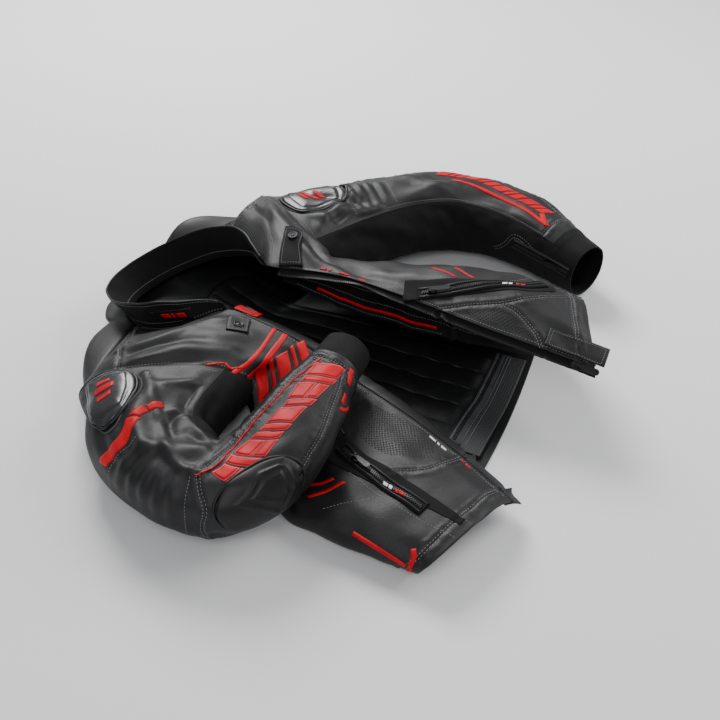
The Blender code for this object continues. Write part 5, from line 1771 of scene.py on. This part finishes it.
class JACKET_OT_prints(bpy.types.Operator):
    """Lay the red bars, bands and blocks on the leather"""

    bl_idname = "jacket.prints"
    bl_label = "Prints"

    def execute(self, context):
        thick = context.scene.jacket_sizes.print_thickness
        for name, panel, spots, cuts, material in print_table():
            lift = HALF + 0.0004 if name == "forearm_blocks" else HALF
            printed(name, panel, spots, cuts, material(), lift, thick)
        edge = RIGHT_SLEEVE_SEAMS[0].spots
        bead_on("right_forearm_piping", right_sleeve(), [(u, v + 0.020) for u, v in edge], 0.0010,
                HALF + 0.0003, red_ink(), 160)
        return {"FINISHED"}


def print_table():
    """Every print: its name, panel, line, cuts along the line in metres, and finish."""
    right, left = right_front(), left_front()
    arm, far_arm = right_sleeve(), left_sleeve()
    chest = [(0.536, 0.02), (0.535, 0.40), (0.530, 0.84)]
    chest_blocks = [
        (0.002, 0.016, -0.020, 0.018, -0.35), (0.021, 0.027, -0.020, 0.018, -0.35),
        (0.032, 0.052, -0.020, 0.016, -0.35),
        (0.057, 0.063, -0.022, 0.018, -0.35), (0.068, 0.086, -0.022, 0.016, -0.35),
    ]
    forearm = [
        (0.482, 0.325), (0.545, 0.268), (0.637, 0.250), (0.719, 0.258), (0.806, 0.278), (0.862, 0.292),
    ]
    length = arm.length(forearm)
    shares = (0.0, 0.095, 0.12, 0.17, 0.195, 0.31, 0.335, 0.375, 0.40, 0.44, 0.465, 0.58, 0.605, 0.65,
              0.675, 0.79, 0.815, 0.855, 0.88, 0.985)
    cuts = [(length * shares[n], length * shares[n + 1]) for n in range(0, len(shares), 2)]
    blocks, edges = [], []
    for number, (first, last) in enumerate(cuts):
        low, high = (-0.0165, 0.0165) if number % 2 else (-0.0150, 0.0185)
        parts = [(low, high)] if last - first < 0.014 or number % 4 == 1 else [(low, 0.001), (0.0055, high)]
        for bottom, top in parts:
            blocks.append((first, last, bottom, top, 0.45))
            edges.append((first - 0.0013, last + 0.0013, bottom - 0.0015, top + 0.0015, 0.45))
    far_strip = [(0.430, 0.315), (0.502, 0.300), (0.614, 0.262), (0.700, 0.258), (0.775, 0.270)]
    far_length = far_arm.length(far_strip)
    far_blocks, place, number = [], 0.0, 0
    while place < far_length - 0.012:
        long = (0.020, 0.008, 0.014)[number % 3]
        far_blocks.append((place, place + long, -0.0090, 0.0105, 0.7))
        place, number = place + long + 0.0032, number + 1
    far_stripe = [(0.457, 0.248), (0.602, 0.221), (0.730, 0.204), (0.799, 0.196)]
    stripe_length = far_arm.length(far_stripe)
    near_band = [(0.268, 0.460), (0.266, 0.330), (0.205, 0.250), (0.186, 0.222)]
    band_length = arm.length(near_band)
    trim = [(0.861, 0.727), (0.917, 0.767), (0.970, 0.815)]
    return [
        ("chest_band_upper", right, [(0.420, 0.00), (0.441, 0.50), (0.444, 0.80), (0.438, 0.900)],
         [(0.0, 0.108, -0.0032, 0.0032, 0.0)], red_ink),
        ("chest_band_lower", right, [(0.456, 0.00), (0.478, 0.50), (0.490, 0.80), (0.492, 0.93)],
         [(0.0, 0.094, -0.0042, 0.0042, 0.0)], red_ink),
        ("chest_zigzag_1", *stroke(right, (0.441, 0.890), (0.412, 0.985), 0.0016)),
        ("chest_zigzag_2", *stroke(right, (0.412, 0.985), (0.388, 0.925), 0.0014)),
        ("chest_zigzag_3", *stroke(right, (0.388, 0.925), (0.350, 0.985), 0.0011)),
        ("chest_blocks", right, chest, chest_blocks, red_ink),
        ("near_side_trim", right, trim, [(0.0, right.length(trim), -0.0026, 0.0026, 0.0)], red_ink),
        ("near_side_end", right, [(0.958, 0.640), (0.970, 0.705), (0.978, 0.800)],
         [(0.0, 0.034, -0.0036, 0.0036, 0.0)], red_ink),
        ("forearm_edges", arm, forearm, edges, pale_red_ink),
        ("forearm_blocks", arm, forearm, blocks, red_ink),
        ("near_arm_band", arm, near_band,
         [(0.0, 0.62 * band_length, -0.0088, 0.0088, 0.3),
          (0.64 * band_length, 0.80 * band_length, -0.0062, 0.0062, 0.3),
          (0.82 * band_length, band_length, -0.0052, 0.0052, 0.0)], red_ink),
        ("cuff_trim_1", arm, [(0.886, 0.405), (0.850, 0.425), (0.812, 0.437)],
         [(0.0, 0.026, -0.0036, 0.0036, 0.0)], red_ink),
        ("cuff_trim_2", arm, [(0.812, 0.437), (0.790, 0.437), (0.768, 0.432)],
         [(0.0, 0.017, -0.0030, 0.0030, 0.0)], red_ink),
        ("cuff_trim_3", arm, [(0.768, 0.440), (0.780, 0.475), (0.800, 0.500)],
         [(0.0, 0.026, -0.0024, 0.0024, 0.0)], red_ink),
        ("far_arm_blocks", far_arm, far_strip, far_blocks, red_ink),
        ("far_arm_stripe", far_arm, far_stripe, [(0.0, stripe_length, -0.0034, 0.0034, 0.5)], red_ink),
        ("far_arm_stripe_end", far_arm, [(0.745, 0.240), (0.772, 0.212), (0.800, 0.184)],
         [(0.0, 0.022, -0.0038, 0.0038, 0.0)], red_ink),
        ("near_bar_upper", *stroke(right, (0.735, 0.635), (0.770, 0.515), 0.0019, 0.6)),
        ("near_bar_lower", *stroke(right, (0.752, 0.672), (0.790, 0.500), 0.0019, 0.6)),
        ("far_bar_upper", *stroke(left, (0.695, 0.335), (0.748, 0.265), 0.0019, 0.6)),
        ("far_bar_lower", *stroke(left, (0.742, 0.372), (0.785, 0.312), 0.0019, 0.6)),
        ("zip_side_marks", right, [(0.835, 0.035), (0.880, 0.035), (0.935, 0.035)],
         [(0.000, 0.011, -0.0012, 0.0012, 0.5), (0.014, 0.018, -0.0012, 0.0012, 0.5),
          (0.021, 0.030, -0.0012, 0.0012, 0.5)], white_ink),
        ("zip_side_red_marks", right, [(0.903, 0.035), (0.930, 0.035), (0.955, 0.035)],
         [(0.000, 0.004, -0.0012, 0.0012, 0.5), (0.007, 0.016, -0.0012, 0.0012, 0.5)], red_ink),
    ]


def stroke(panel, start, end, half_width, slant=0.0):
    """The panel, line, cut and finish of one straight red stroke."""
    middle = ((start[0] + end[0]) / 2, (start[1] + end[1]) / 2)
    spots = [start, middle, end]
    return panel, spots, [(0.0, panel.length(spots), -half_width, half_width, slant)], red_ink


class JACKET_OT_stitching(bpy.types.Operator):
    """Sew the rows of stitches along every seam"""

    bl_idname = "jacket.stitching"
    bl_label = "Stitching"

    def execute(self, context):
        sizes = context.scene.jacket_sizes
        for name, panel, seams, lift in (
            ("right_front_stitches", right_front(), RIGHT_FRONT_SEAMS, HALF),
            ("left_front_stitches", left_front(), LEFT_FRONT_SEAMS, HALF),
            ("right_sleeve_stitches", right_sleeve(), RIGHT_SLEEVE_SEAMS, HALF),
            ("left_sleeve_stitches", left_sleeve(), LEFT_SLEEVE_SEAMS, HALF),
            ("left_under_stitches", left_under_sleeve(), LEFT_UNDER_SEAMS, THIN),
        ):
            stitched(name, panel, seams, thread(), lift, sizes.stitch_pitch, sizes.stitch_rows)
        return {"FINISHED"}


class JACKET_OT_stage(bpy.types.Operator):
    """Lay the pale floor and set the soft lights and the camera"""

    bl_idname = "jacket.stage"
    bl_label = "Stage"

    def execute(self, context):
        scene = context.scene
        paint = Paint("studio floor", colour_of("floor"), 0.9, Specular_IOR_Level=0.2)
        size = 6.0
        corners = [(-size, -size, 0), (size, -size, 0), (size, size, 0), (-size, size, 0)]
        floor = add_piece("studio floor", corners, [(0, 1, 2, 3)], [paint.material], smooth=False)
        world = bpy.data.worlds.new("studio")
        world.use_nodes = True
        world.node_tree.nodes["Background"].inputs["Color"].default_value = (0.95, 0.97, 1.0, 1)
        world.node_tree.nodes["Background"].inputs["Strength"].default_value = 0.34
        scene.world = world
        lamps = [
            ("key", (-1.2, 1.3, 1.7), 1.1, 82),
            ("fill", (1.5, 1.3, 1.5), 1.4, 40),
            ("front", (0.5, -1.8, 1.8), 1.4, 24),
        ]
        for name, place, width, power in lamps:
            lamp = bpy.data.lights.new(name, "AREA")
            lamp.size = width
            lamp.energy = power
            holder = bpy.data.objects.new(name, lamp)
            holder.location = place
            holder.rotation_euler = (-Vector(place)).to_track_quat("-Z", "Y").to_euler()
            scene.collection.objects.link(holder)
        azimuth, elevation, distance = math.radians(25), math.radians(40), 1.5
        aim = Vector((0.02845, 0.00046, 0.0))
        away = Vector((
            math.sin(azimuth) * math.cos(elevation),
            -math.cos(azimuth) * math.cos(elevation),
            math.sin(elevation),
        ))
        lens = bpy.data.cameras.new("camera")
        lens.lens = 51.35
        lens.sensor_width = 36.0
        camera = bpy.data.objects.new("camera", lens)
        camera.location = aim + away * distance
        camera.rotation_euler = (-away).to_track_quat("-Z", "Y").to_euler()
        scene.collection.objects.link(camera)
        scene.camera = camera
        return {"FINISHED"}


STEPS = (
    JACKET_OT_back,
    JACKET_OT_fronts,
    JACKET_OT_sleeves,
    JACKET_OT_collar,
    JACKET_OT_front_edges,
    JACKET_OT_cups,
    JACKET_OT_tabs,
    JACKET_OT_pockets,
    JACKET_OT_prints,
    JACKET_OT_stitching,
    JACKET_OT_stage,
)


class JACKET_PT_panel(bpy.types.Panel):
    """The jacket's pieces, in the order in which they are made"""

    bl_idname = "JACKET_PT_panel"
    bl_label = "Leather Jacket"
    bl_space_type = "VIEW_3D"
    bl_region_type = "UI"
    bl_category = "Jacket"

    def draw(self, context):
        for group in (context.scene.jacket_colours, context.scene.jacket_sizes):
            for name in type(group).__annotations__:
                self.layout.prop(group, name)
        for step in STEPS:
            self.layout.operator(step.bl_idname)


CLASSES = (JacketColours, JacketSizes, *STEPS, JACKET_PT_panel)


def register():
    for kind in CLASSES:
        bpy.utils.register_class(kind)
    bpy.types.Scene.jacket_colours = bpy.props.PointerProperty(type=JacketColours)
    bpy.types.Scene.jacket_sizes = bpy.props.PointerProperty(type=JacketSizes)


def unregister():
    del bpy.types.Scene.jacket_sizes
    del bpy.types.Scene.jacket_colours
    for kind in reversed(CLASSES):
        bpy.utils.unregister_class(kind)


def main():
    register()
    for step in STEPS:
        group, name = step.bl_idname.split(".")
        getattr(getattr(bpy.ops, group), name)()


if __name__ == "__main__":
    main()
